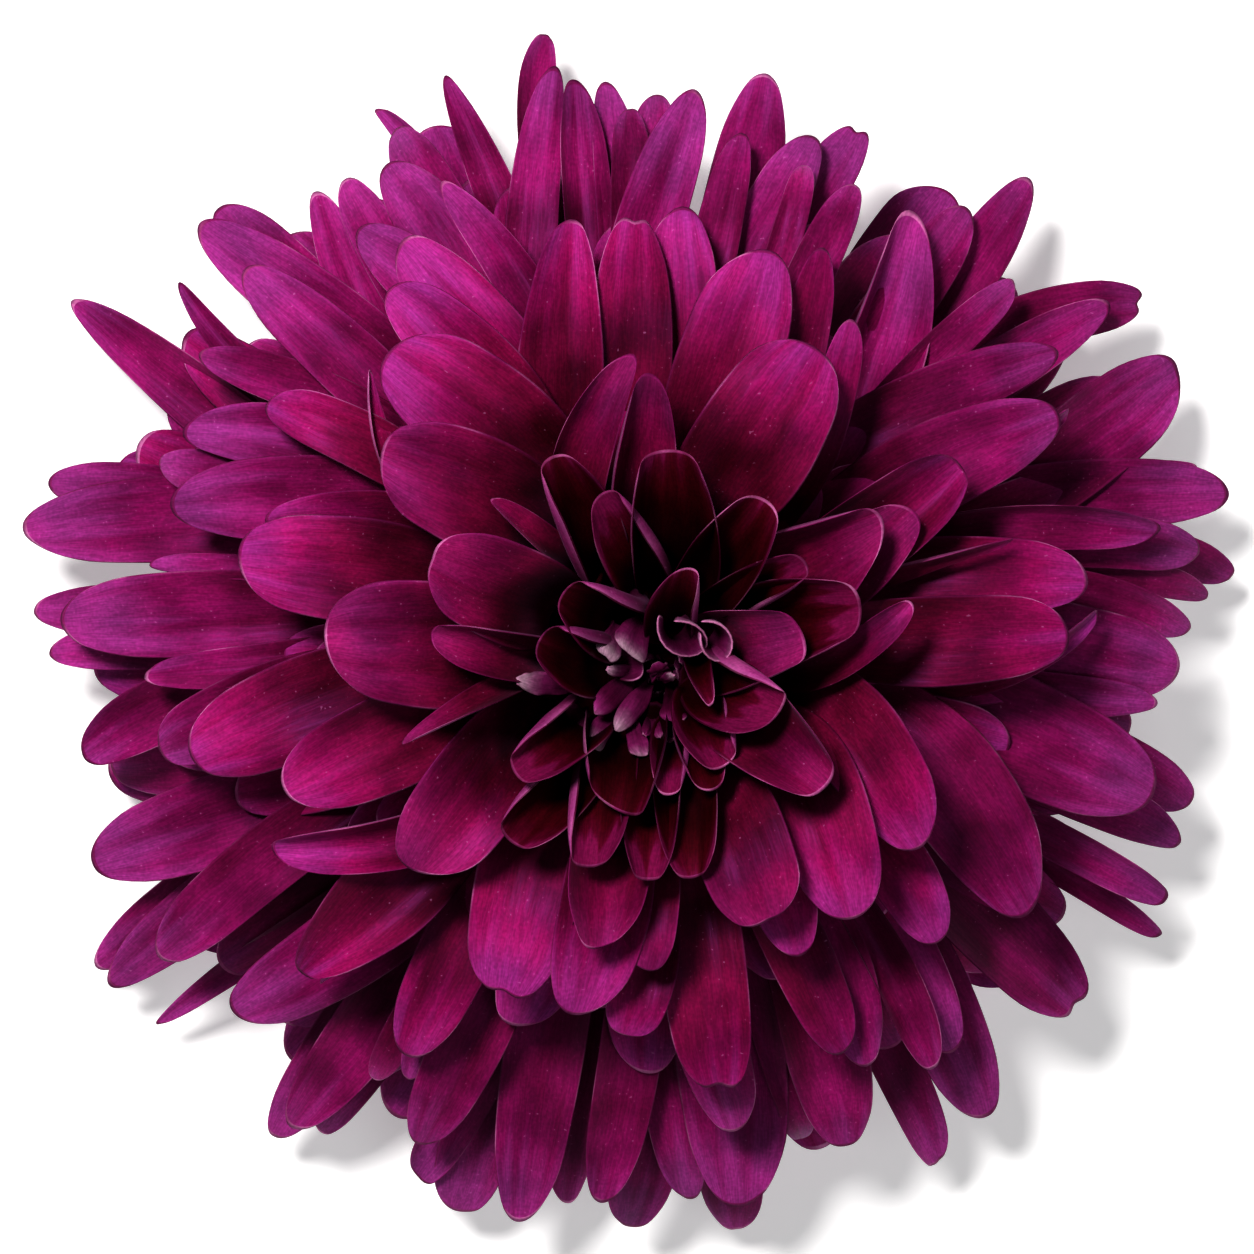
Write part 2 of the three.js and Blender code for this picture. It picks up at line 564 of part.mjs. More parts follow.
// A solid turned about the axis from radius and height pairs.
function turned(profile, sides) {
  const lathe = new THREE.LatheGeometry(profile.map(([r, z]) => new THREE.Vector2(r, z)), sides);
  return lathe.rotateX(Math.PI / 2);
}

function receptacleCore() {
  const profile = [[0, CORE_BOTTOM], [RECEPTACLE_RADIUS - CORE_INSET, CORE_BOTTOM]];
  for (let step = 0; step <= CORE_STEPS; step += 1) {
    const polar = rad(90 * (1 - step / CORE_STEPS));
    const reach = (RECEPTACLE_RADIUS + CORE_SKIN) * Math.sin(polar);
    profile.push([reach, RECEPTACLE_FOOT + (RECEPTACLE_RISE + CORE_SKIN) * Math.cos(polar)]);
  }
  profile.at(-1)[0] = 0;
  return turned(profile, CORE_SIDES);
}

// Lower florets arch out and hang. The feet bend down early and lie along the surface.
function lowerFlorets() {
  const draw = seededDraw(41);
  const between = ([low, high]) => low + (high - low) * draw();
  const blades = [];
  for (let k = 0; k < LOWER_COUNT; k += 1) {
    const clock = rad(GOLDEN_ANGLE * k + LOWER_SWAY * draw());
    const foot = k % FOOT_EVERY === 0 && k < FOOT_EVERY * FOOT_COUNT;
    const reach = foot ? FOOT_REACH + draw() : between(LOWER_REACH);
    const tipHeight = foot ? FOOT_LIFT : between(LOWER_TIP);
    const bendHeight = foot ? FOOT_LIFT : tipHeight + LOWER_ARCH;
    const bendReach = foot ? FOOT_BEND : reach * LOWER_BEND;
    const at = (radius, height) => new THREE.Vector3(
      radius * Math.cos(clock),
      radius * Math.sin(clock),
      height,
    );
    const curve = {
      base: at(RECEPTACLE_RADIUS - LOWER_INSET, LOWER_BASE_HEIGHT),
      bend: at(bendReach, bendHeight),
      tip: at(reach, tipHeight),
    };
    blades.push(bladeGeometry(curve, LOWER_WIDTH, foot ? FORMS.foot : FORMS.blunt));
  }
  return blades;
}

// A solid cone that keeps the heart and the cups round it apart.
function heartWell(shrink) {
  return toSolid(turned([
    [0, WELL_FLOOR + shrink],
    [WELL_FOOT_RADIUS - shrink, WELL_FLOOR + shrink],
    [WELL_RIM_RADIUS - shrink, WELL_RIM],
    [0, WELL_RIM],
  ], WELL_SIDES));
}

function surfaceCut(solid) {
  const size = 4 * BLOOM_RADIUS;
  const below = new THREE.BoxGeometry(size, size, size).translate(0, 0, -size / 2);
  return solid.subtract(toSolid(below));
}

function rayFlorets() {
  const visible = FLORETS.map((row) => {
    const width = row[4] * PIXEL;
    const stations = width < NARROW ? SHORT_STATIONS : BLADE_STATIONS;
    return bladeGeometry(visibleCurve(row), width, FORMS[row[6]], { stations });
  });
  const bloom = fuse([receptacleCore(), ...visible, ...lowerFlorets()]);
  return outerSkin(surfaceCut(bloom).subtract(heartWell(0)));
}

function youngCurve([tipX, tipY, bodyX, bodyY, , lift]) {
  const tip = tipPoint(tipX, tipY, lift);
  const bend = fromView(bodyX, bodyY, (tip.z + BUTTON_TOP) / 2);
  const base = new THREE.Vector3(bend.x * YOUNG_LEAN, bend.y * YOUNG_LEAN, BUTTON_TOP - YOUNG_START);
  return { base, bend, tip };
}

function heartFlorets() {
  const draw = seededDraw(7);
  const button = turned([
    [0, WELL_FLOOR + CLEARANCE],
    [BUTTON_RADIUS, WELL_FLOOR + CLEARANCE],
    [BUTTON_RADIUS, BUTTON_TOP - BUTTON_CROWN.shoulder],
    [BUTTON_RADIUS * BUTTON_CROWN.share, BUTTON_TOP],
    [0, BUTTON_TOP + BUTTON_CROWN.rise],
  ], BUTTON_SIDES);
  const read = HEART_FLORETS.map((row) => {
    const width = row[4] * PIXEL;
    return bladeGeometry(youngCurve(row), width, FORMS[row[6]], { settling: YOUNG_SETTLING });
  });
  const young = Array.from({ length: YOUNG_COUNT }, (_, k) => {
    const clock = rad(GOLDEN_ANGLE * k);
    const reach = YOUNG_SPREAD * Math.sqrt((k + 0.5) / YOUNG_COUNT);
    const height = THREE.MathUtils.lerp(...YOUNG_HEIGHT, draw());
    const at = (share, level) => new THREE.Vector3(
      share * reach * Math.cos(clock),
      share * reach * Math.sin(clock),
      level,
    );
    const curve = {
      base: at(YOUNG_ROOT.share, YOUNG_ROOT.height),
      bend: at(YOUNG_BEND.share, height - YOUNG_BEND.below),
      tip: at(YOUNG_TIP, height),
    };
    const options = { thickness: YOUNG_THICKNESS, settling: YOUNG_SETTLING };
    return bladeGeometry(curve, YOUNG_WIDTH, FORMS.bud, options);
  });
  return outerSkin(fuse([button, ...read, ...young]).intersect(heartWell(CLEARANCE)));
}

function involucre() {
  const cup = turned([
    [0, CUP_FOOT],
    [CUP_FOOT_RADIUS, CUP_FOOT],
    [CUP_RADIUS * CUP_BELLY.share, CUP_FOOT + CUP_BELLY.rise],
    [CUP_RADIUS * CUP_SHOULDER.share, CUP_FOOT + CUP_SHOULDER.rise],
    [CUP_RADIUS, CUP_RIM],
    [0, CUP_RIM],
  ], CUP_SIDES);
  const bracts = BRACT_ROWS.flatMap((row, tier) => {
    return Array.from({ length: row.count }, (_, k) => {
      const clock = 2 * Math.PI * (k + tier / 2) / row.count;
      const at = (radius, height) => new THREE.Vector3(
        radius * Math.cos(clock),
        radius * Math.sin(clock),
        height,
      );
      const curve = {
        base: at(row.reach * BRACT_ROOT.share, CUP_FOOT + BRACT_ROOT.rise),
        bend: at(row.reach * BRACT_BEND.share, CUP_FOOT + BRACT_BEND.rise),
        tip: at(row.reach, row.height),
      };
      return bladeGeometry(curve, row.width, FORMS.pointed, { thickness: BRACT_THICKNESS });
    });
  });
  return outerSkin(fuse([cup, ...bracts]));
}

function stemStub() {
  const outline = new THREE.Shape();
  for (let side = 0; side < STEM_SIDES; side += 1) {
    const clock = 2 * Math.PI * side / STEM_SIDES;
    const radius = STEM_RADIUS + STEM_RIB * Math.cos(STEM_RIBS * clock);
    const draw = side === 0 ? 'moveTo' : 'lineTo';
    outline[draw](radius * Math.cos(clock), radius * Math.sin(clock));
  }
  outline.closePath();
  const stub = new THREE.ExtrudeGeometry(outline, { depth: STEM_TOP - STEM_FOOT, bevelEnabled: false });
  return stub.translate(0, 0, STEM_FOOT);
}

function petalMaterial() {
  return new THREE.MeshStandardMaterial({ color: 0x8a0f68, roughness: 0.55, metalness: 0 });
}

function heartMaterial() {
  return new THREE.MeshStandardMaterial({ color: 0x7d5a80, roughness: 0.6, metalness: 0 });
}

function bractMaterial() {
  return new THREE.MeshStandardMaterial({ color: 0x4f6b34, roughness: 0.7, metalness: 0 });
}

function stemMaterial() {
  return new THREE.MeshStandardMaterial({ color: 0x5d7a3c, roughness: 0.65, metalness: 0 });
}

function part(name, geometry, material) {
  const mesh = new THREE.Mesh(geometry, material);
  mesh.name = name;
  return mesh;
}

const bloom = new THREE.Group();
bloom.add(part('ray_florets', rayFlorets(), petalMaterial()));
bloom.add(part('heart_florets', heartFlorets(), heartMaterial()));
bloom.add(part('involucre', involucre(), bractMaterial()));
bloom.add(part('stem', stemStub(), stemMaterial()));

export default bloom;
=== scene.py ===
# Cremon chrysanthemum: the looks of a cut bloom that lies face up on its lowest petals.
# Metres, +Z up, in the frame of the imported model. Lengths named below are millimetres.

import math

import bmesh
import bpy
from mathutils import Matrix, Vector


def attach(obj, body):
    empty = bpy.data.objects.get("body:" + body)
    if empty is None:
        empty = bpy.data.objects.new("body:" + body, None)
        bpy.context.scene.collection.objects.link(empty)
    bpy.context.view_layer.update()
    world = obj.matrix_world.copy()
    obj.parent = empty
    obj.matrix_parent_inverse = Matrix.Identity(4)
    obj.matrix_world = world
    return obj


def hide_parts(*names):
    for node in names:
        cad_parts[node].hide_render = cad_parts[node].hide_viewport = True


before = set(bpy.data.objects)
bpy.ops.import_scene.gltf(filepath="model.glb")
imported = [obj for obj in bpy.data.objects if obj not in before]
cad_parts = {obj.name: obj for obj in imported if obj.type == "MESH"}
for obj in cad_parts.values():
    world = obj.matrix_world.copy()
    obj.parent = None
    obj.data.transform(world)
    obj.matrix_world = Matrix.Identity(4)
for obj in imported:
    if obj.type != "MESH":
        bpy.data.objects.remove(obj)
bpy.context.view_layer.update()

MM = 0.001

# Bloom: tips lie near a dome that falls from the heart to the rim.
BLOOM_RADIUS = 58.5
DOME_TOP = 47
DOME_FALL = 41
TIP_ARCH = 13
CUP_DIP = 4

# Receptacle: the dome that carries the florets.
RECEPTACLE_RADIUS = 12
RECEPTACLE_FOOT = 17.5
RECEPTACLE_RISE = 10.5
RECEPTACLE_SKIN = 0.6
RECEPTACLE_SINK = 1.2
RECEPTACLE_STEPS = 8
RECEPTACLE_SIDES = 32
CORE_BOTTOM = 16.3
CORE_INSET = 0.4
FIRST_POLAR = 26
POLAR_SPREAD = 66
POLAR_POWER = 0.75

# Florets: the blade's thickness, its faces across and along, and how its width runs.
BLADE_THICKNESS = 0.2
MARGIN_THICKNESS = 0.4
YOUNG_THICKNESS = 0.32
YOUNG_MARGIN = 0.75
MARGIN_POWER = 6
CUP_THICKNESS = 0.26
CUP_MARGIN = 0.5
BLADE_FACES = (8, 16)
COVERED_FACES = (6, 12)
CLAW_WIDTH = 0.34
TAPER_POWER = 1.7
CLAW_CHANNEL = 60
HOOD_FROM = 0.7
CURLED_FROM = 0.65
CURL_EASED = (0.8, 0.7)
CURL_POWER = 3
SECTION_STEPS = 12
WIDTH_PROBES = 6
BODY_SHARES = (0.3, 0.75)
SETTLING_PASSES = 6

# How florets of one form differ: roll, channel and margin curl (degrees), hood, grooves (mm), the
# slope of one soft fold and how far off the rib it lies, the twist in the middle, how one side is
# fuller nearer the tip, and the margin's waves (mm).
ROLL_SPREAD = 10
CHANNEL_SPREAD = 12
CURL_SPREAD = 14
HOOD_SPREAD = 0.025
RIDGE_DEPTH = 0.1
GROOVES = 3
FOLD_SLOPE = (0.08, 0.42)
FOLD_PLACE = 0.45
FOLD_SOFTNESS = 0.012
SWING = 0.12
LOP = 0.3
SKEW = 0.13
END_SPREAD = 0.08
ROUND_SPREAD = 0.17
MARGIN_WAVE = (0.06, 0.3)
WAVE_COUNT = (8, 16)
NOTCH_WIDTH = 0.3

# The veins' map: how many millimetres one unit spans across and along, and how florets are parted.
VEIN_ACROSS = 20
VEIN_ALONG = 10
VEIN_SHIFT = 7
TURNED_VEINS = 1.2

# Lower florets: hidden rows under the bloom, by the golden angle. Some lie on the surface.
GOLDEN_ANGLE = 137.508
LOWER_COUNT = 24
LOWER_WIDTH = 8.2
LOWER_REACH = (43, 50)
LOWER_TIP = (4, 10)
LOWER_BASE_HEIGHT = 18.5
LOWER_ARCH = 10
LOWER_BEND = 0.6
LOWER_INSET = 1
LOWER_SWAY = 6
FOOT_EVERY = 3
FOOT_COUNT = 7
FOOT_REACH = 49
FOOT_BEND = 36
FOOT_LIFT = -0.05
SURFACE_GAP = 0.05

# Covered florets: rows that the ones above hide, and a skirt among the lower ones.
HIDDEN_COUNT = 48
HIDDEN_REACH = (30, 50)
HIDDEN_DEPTH = (6.5, 10)
HIDDEN_WIDTH = 7.4
HIDDEN_BEND = 0.55
NECK_COUNT = 22
NECK_REACH = (22, 32)
NECK_DEPTH = (7.5, 11)
SKIRT_COUNT = 30
SKIRT_REACH = (38, 50)
SKIRT_TIP = (3, 9)
SKIRT_BASE_HEIGHT = 18
SKIRT_ARCH = 9

# Heart: young florets on a button among the cups.
BUTTON_FLOOR = 26.95
BUTTON_RADIUS = 4.3
BUTTON_TOP = 30.5
BUTTON_CROWN = {"share": 0.6, "shoulder": 1, "drop": 0.1, "rise": 0.3}
BUTTON_SIDES = 32
YOUNG_COUNT = 18
YOUNG_WIDTH = 2.4
YOUNG_HEIGHT = (34, 37.5)
YOUNG_SPREAD = 5
# The young florets on the button get a low tone: dark purple as painted shade, deep in the heart.
YOUNG_SHADED_TONE = 0.12
YOUNG_RISE = 4.5
YOUNG_ARCH = -0.4
YOUNG_ROOT = {"share": 0.6, "below": 2}
YOUNG_BEND = {"share": 1.05, "below": 3}
YOUNG_TIP = 0.95
TUBE_RISE = 5

# Involucre: a green cup with three rows of bracts.
CUP_RIM = 15.95
CUP_RADIUS = 11.4
CUP_FOOT = 9
CUP_FOOT_RADIUS = 3.9
CUP_BELLY = {"share": 0.62, "rise": 1.7}
CUP_SHOULDER = {"share": 0.88, "rise": 3.9}
CUP_SIDES = 48
BRACT_ROWS = (
    {"count": 8, "height": 11.6, "reach": 10.4, "width": 4},
    {"count": 11, "height": 13.6, "reach": 12.2, "width": 4},
    {"count": 13, "height": 15.2, "reach": 13.1, "width": 3.8},
)
BRACT_THICKNESS = 0.5
BRACT_ROOT = {"share": 0.3, "rise": 1}
BRACT_BEND = {"share": 0.86, "rise": 0.6}

# Stem stub: ribbed, cut square just above the surface.
STEM_RADIUS = 3.1
STEM_RIB = 0.22
STEM_RIBS = 9
STEM_FOOT = 0.8
STEM_TOP = 8.7
STEM_SIDES = 108

# The view in which the florets below were read: image pixels, seen almost along the axis.
PIXEL = 0.09
IMAGE_SIZE = 1254
VIEW_MIDDLE = (636, 650)
VIEW_PLANE = 12
VIEW_LEAN = (0.055, -0.125)
VIEW_DISTANCE = 600
INNER_REACH = 330
MIDDLE_REACH = 480

# Seeds of the draws: how each piece's blades differ, and where its lower or young ones lie.
BLOOM_SEED = 3
LOWER_SEED = 41
LOWER_LOOKS_SEED = 97
HIDDEN_SEED = 131
YOUNG_SEED = 7
YOUNG_LOOKS_SEED = 53
BRACT_SEED = 19

# Camera, light and floor (metres, watts). The view's gamma deepens the dark throats.
SENSOR_WIDTH = 36
CLIP_START = 0.01
VIEW_GAMMA = 0.75
LIGHT_TARGET = (0, 0, 0.03)
KEY_LIGHT = {"place": (-0.24, 0.34, 0.72), "size": 0.17, "power": 8.6, "colour": (1, 0.98, 0.96)}
FILL_LIGHT = {"place": (0.3, -0.2, 0.8), "size": 0.5, "power": 1.3, "colour": (0.97, 0.97, 1)}
SURROUND_STOPS = ((0.0, (0.8, 0.8, 0.8)), (0.2, (0.55, 0.55, 0.55)), (0.65, (0.05, 0.05, 0.05)))
FLOOR_REACH = 3
FLOOR_SHADE = (0.75, 0.75, 0.75)
FLOOR_GLOW = 0.42

# A noise lies mostly within the narrow range and nearly all within the wide one.
NARROW_RANGE = (0.3, 0.7)
WIDE_RANGE = (0.2, 0.8)

# Petal tissue: the scales of its streaks, bands, clouds and cells, how far they shift the colour,
# lighten it, and stand off the blade, and where patches and the lit margin lie along it.
STREAK_SCALE = (26, 3.4, 1)
BAND_SCALE = (6, 0.6, 1)
BAND_PLACE = (3.1, 1.7, 0)
CLOUD_SCALE = (170, 170, 170)
CELL_SCALE = (3600, 3600, 3600)
BAND_SHIFT = 0.05
TINGE_RANGE = (0.35, 0.75)
CLOUD_TINGE = 0.5
CLOUD_LIFT = 0.26
CELL_LIFT = 0.15
VEIN_LINE = 0.12
PATCH_RANGE = (0.5, 0.66)
PATCH_ALONG = (0.6, 0.95)
EDGE_ALONG = (0.4, 0.85)
EDGE_AT_BASE = 0.15
# How fast the painted light on a cup's face rises toward its margins.
WALL_LIGHT_POWER = 4
STREAK_BUMP = 0.4
BAND_BUMP = 2.2
BUMP_DEPTH = 0.00012
FACE_VEINS = 0.18
REVERSE_VEINS = 0.12
RIM_VEINS = 0.04

# Green tissue: the scales of its ribs and mottle, and its pale margin.
RIB_SCALE = (22, 1.2, 1)
MOTTLE_SCALE = (500, 500, 500)
MOTTLE_LIFT = 0.15
BRACT_EDGE = (0.52, 0.5, 0.32)
BRACT_EDGE_FROM = 0.38
BRACT_EDGE_WEIGHT = 0.8
GREEN_GRAIN = 0.6
GREEN_BUMP_DEPTH = 0.0002

# Colours. Stops run from a blade's base (0) to its tip (1). A margin has its share of the blade's
# width, its colour and its weight. Shine is the tint of the reflections, dust the pollen specks.
SHINE = (1, 0.2, 0.95)
CUP_SHINE = (1, 0.15, 0.35)
DOWN_TINT = (1, 0.45, 0.9)
DUST = (0.5, 0.2, 0.4)
DUST_RANGE = (0.81, 0.87)
CRIMSON = (0.241, 0.0056, 0.072)
OUTER_CRIMSON = (0.253, 0.0095, 0.121)
CUP_CRIMSON = (0.0363, 0.001, 0.0035)
YOUNG_PURPLE = (0.178, 0.02, 0.11)
# LIT_MARGIN paints a highlight along a face's margins. PALE_MARGIN lightens the reverse's margins: partly
# its paler tissue, partly a painted highlight.
LIT_MARGIN = (0.04, (0.405, 0.04, 0.25), 0.3)
PALE_MARGIN = (0.08, (0.45, 0.15, 0.35), 0.42)
RIM_MARGIN = (0.02, (0.3, 0.03, 0.18), 0)
PALE_TINGE = (0.6, 0.25, 0.46)
# The petal stops below darken from tip to base: partly the tissue's deeper colour at its base, partly
# painted shade where the blades run down into the bloom. The inner florets' stops are darker still, as
# painted shade nearer the heart.
INNER_STOPS = (
    (0.0, (0.009, 0.0005, 0.0015)),
    (0.52, (0.055, 0.0006, 0.005)),
    (0.7, (0.085, 0.001, 0.0165)),
    (0.86, (0.15, 0.002, 0.054)),
    (1.0, (0.23, 0.015, 0.122)),
)
PETAL_STOPS = (
    (0.0, (0.012, 0.0005, 0.002)),
    (0.48, (0.06, 0.0008, 0.006)),
    (0.66, (0.082, 0.001, 0.0155)),
    (0.76, (0.14, 0.0018, 0.04)),
    (0.86, (0.25, 0.0045, 0.1)),
    (1.0, (0.32, 0.032, 0.23)),
)
OUTER_STOPS = (
    (0.0, (0.016, 0.0006, 0.003)),
    (0.48, (0.09, 0.0012, 0.019)),
    (0.68, (0.115, 0.0015, 0.033)),
    (0.85, (0.19, 0.0045, 0.083)),
    (1.0, (0.31, 0.042, 0.232)),
)
# The cups' faces stay near black for most of their length: partly their own dark colour, partly painted
# shade inside the cups.
CUP_STOPS = (
    (0.0, (0.003, 0.0003, 0.0002)),
    (0.66, (0.0045, 0.0003, 0.0002)),
    (0.8, (0.02, 0.0004, 0.0006)),
    (0.9, (0.06, 0.0008, 0.006)),
    (0.97, (0.115, 0.0018, 0.026)),
    (1.0, (0.21, 0.008, 0.085)),
)
REVERSE_STOPS = ((0.0, (0.06, 0.003, 0.02)), (0.5, (0.13, 0.01, 0.06)), (1.0, (0.28, 0.08, 0.2)))
CUP_REVERSE_STOPS = ((0.0, (0.01, 0.0005, 0.002)), (0.6, (0.12, 0.004, 0.05)), (1.0, (0.36, 0.05, 0.23)))
RIM_STOPS = ((0.0, (0.02, 0.001, 0.005)), (0.5, (0.07, 0.0015, 0.016)), (1.0, (0.24, 0.014, 0.12)))
CUP_RIM_STOPS = (
    (0.0, (0.008, 0.0004, 0.001)),
    (0.6, (0.035, 0.001, 0.008)),
    (0.88, (0.08, 0.0025, 0.025)),
    (1.0, (0.22, 0.03, 0.11)),
)
HEART_RIM_STOPS = ((0.0, (0.008, 0.0004, 0.001)), (0.6, (0.06, 0.003, 0.022)), (1.0, (0.4, 0.16, 0.28)))
HEART_STOPS = (
    (0.0, (0.025, 0.0005, 0.006)),
    (0.4, (0.09, 0.002, 0.036)),
    (0.65, (0.18, 0.016, 0.1)),
    (0.84, (0.28, 0.1, 0.2)),
    (1.0, (0.38, 0.24, 0.31)),
)
GREEN_STOPS = ((0.0, (0.164, 0.253, 0.089)), (0.6, (0.178, 0.288, 0.106)), (1.0, (0.253, 0.299, 0.136)))
CUT_STOPS = ((0.0, (0.522, 0.559, 0.343)), (1.0, (0.522, 0.559, 0.343)))

def floret_form(middle, tip, end, rounded, widest=0.66, hood=0, roll=0, notch=0, left=0, right=0):
    """
    The channel at a blade's middle and tip (half angle in degrees, below zero where it arches), its
    width near the tip (share of full width), the length of its rounded end, where it is widest, how
    far its tip turns in and the depth of its notch (shares of its length), its roll to one side, and
    how far its left and right margins curl in, as seen from the heart (degrees).
    """
    return {
        "middle": middle, "tip": tip, "end": end, "round": rounded, "widest": widest, "hood": hood,
        "roll": roll, "notch": notch, "left": left, "right": right,
    }


FORMS = {
    "strap": floret_form(32, -20, 0.74, 0.13, hood=-0.04),
    "blunt": floret_form(26, -30, 0.82, 0.14, hood=-0.05),
    "broad": floret_form(16, -20, 0.84, 0.14, hood=-0.02, notch=0.01),
    "pointed": floret_form(32, 26, 0.34, 0.07, hood=-0.01),
    "notched": floret_form(20, -16, 0.8, 0.12, hood=-0.04, notch=0.02),
    "folded": floret_form(72, 60, 0.66, 0.12),
    "trough": floret_form(80, 60, 0.6, 0.12, right=30),
    "edge": floret_form(40, 30, 0.6, 0.12, roll=55),
    "hooked": floret_form(40, 30, 0.42, 0.1, hood=0.1),
    "arched": floret_form(40, 0, 0.6, 0.1, hood=-0.05, roll=20),
    "lilac": floret_form(30, 20, 0.74, 0.14, hood=0.04),
    "cupped": floret_form(46, 50, 0.76, 0.18, hood=0.08),
    "hooded": floret_form(46, 60, 0.78, 0.24, hood=0.16, left=60),
    "cup_open": floret_form(66, 74, 0.86, 0.25, 0.77, hood=0.16, left=34, right=34),
    "cup_point": floret_form(66, 76, 0.6, 0.13, 0.74, hood=0.15, left=40, right=28),
    "slim_cup": floret_form(66, 76, 0.6, 0.13, 0.74, hood=0.15, left=40, right=28),
    "cup_left": floret_form(62, 72, 0.74, 0.16, 0.75, hood=0.15, left=140, right=15),
    "cup_right": floret_form(62, 72, 0.74, 0.16, 0.75, hood=0.15, left=15, right=140),
    "cup_turned_left": floret_form(60, 68, 0.76, 0.17, 0.75, hood=0.15, left=165),
    "cup_turned_right": floret_form(60, 68, 0.76, 0.17, 0.75, hood=0.15, right=165),
    "tube": floret_form(160, 172, 1, 0, 1.4),
    "deep_hood": floret_form(58, 84, 0.96, 0.26, 0.8, hood=0.26, left=30, right=50),
    "foot": floret_form(12, 6, 0.8, 0.17),
    "bud": floret_form(-64, -50, 0.5, 0.22, hood=-0.06),
    "spindle": floret_form(-70, -60, 0.34, 0.16, 0.5, hood=-0.04),
    "lobe": floret_form(-40, -52, 0.86, 0.26, 0.66, hood=-0.1, notch=0.03),
    "knob": floret_form(-60, -70, 0.9, 0.4, 0.6, hood=-0.2),
    "shell": floret_form(84, 60, 0.8, 0.24, 0.6, hood=0.1, left=40, right=20),
}

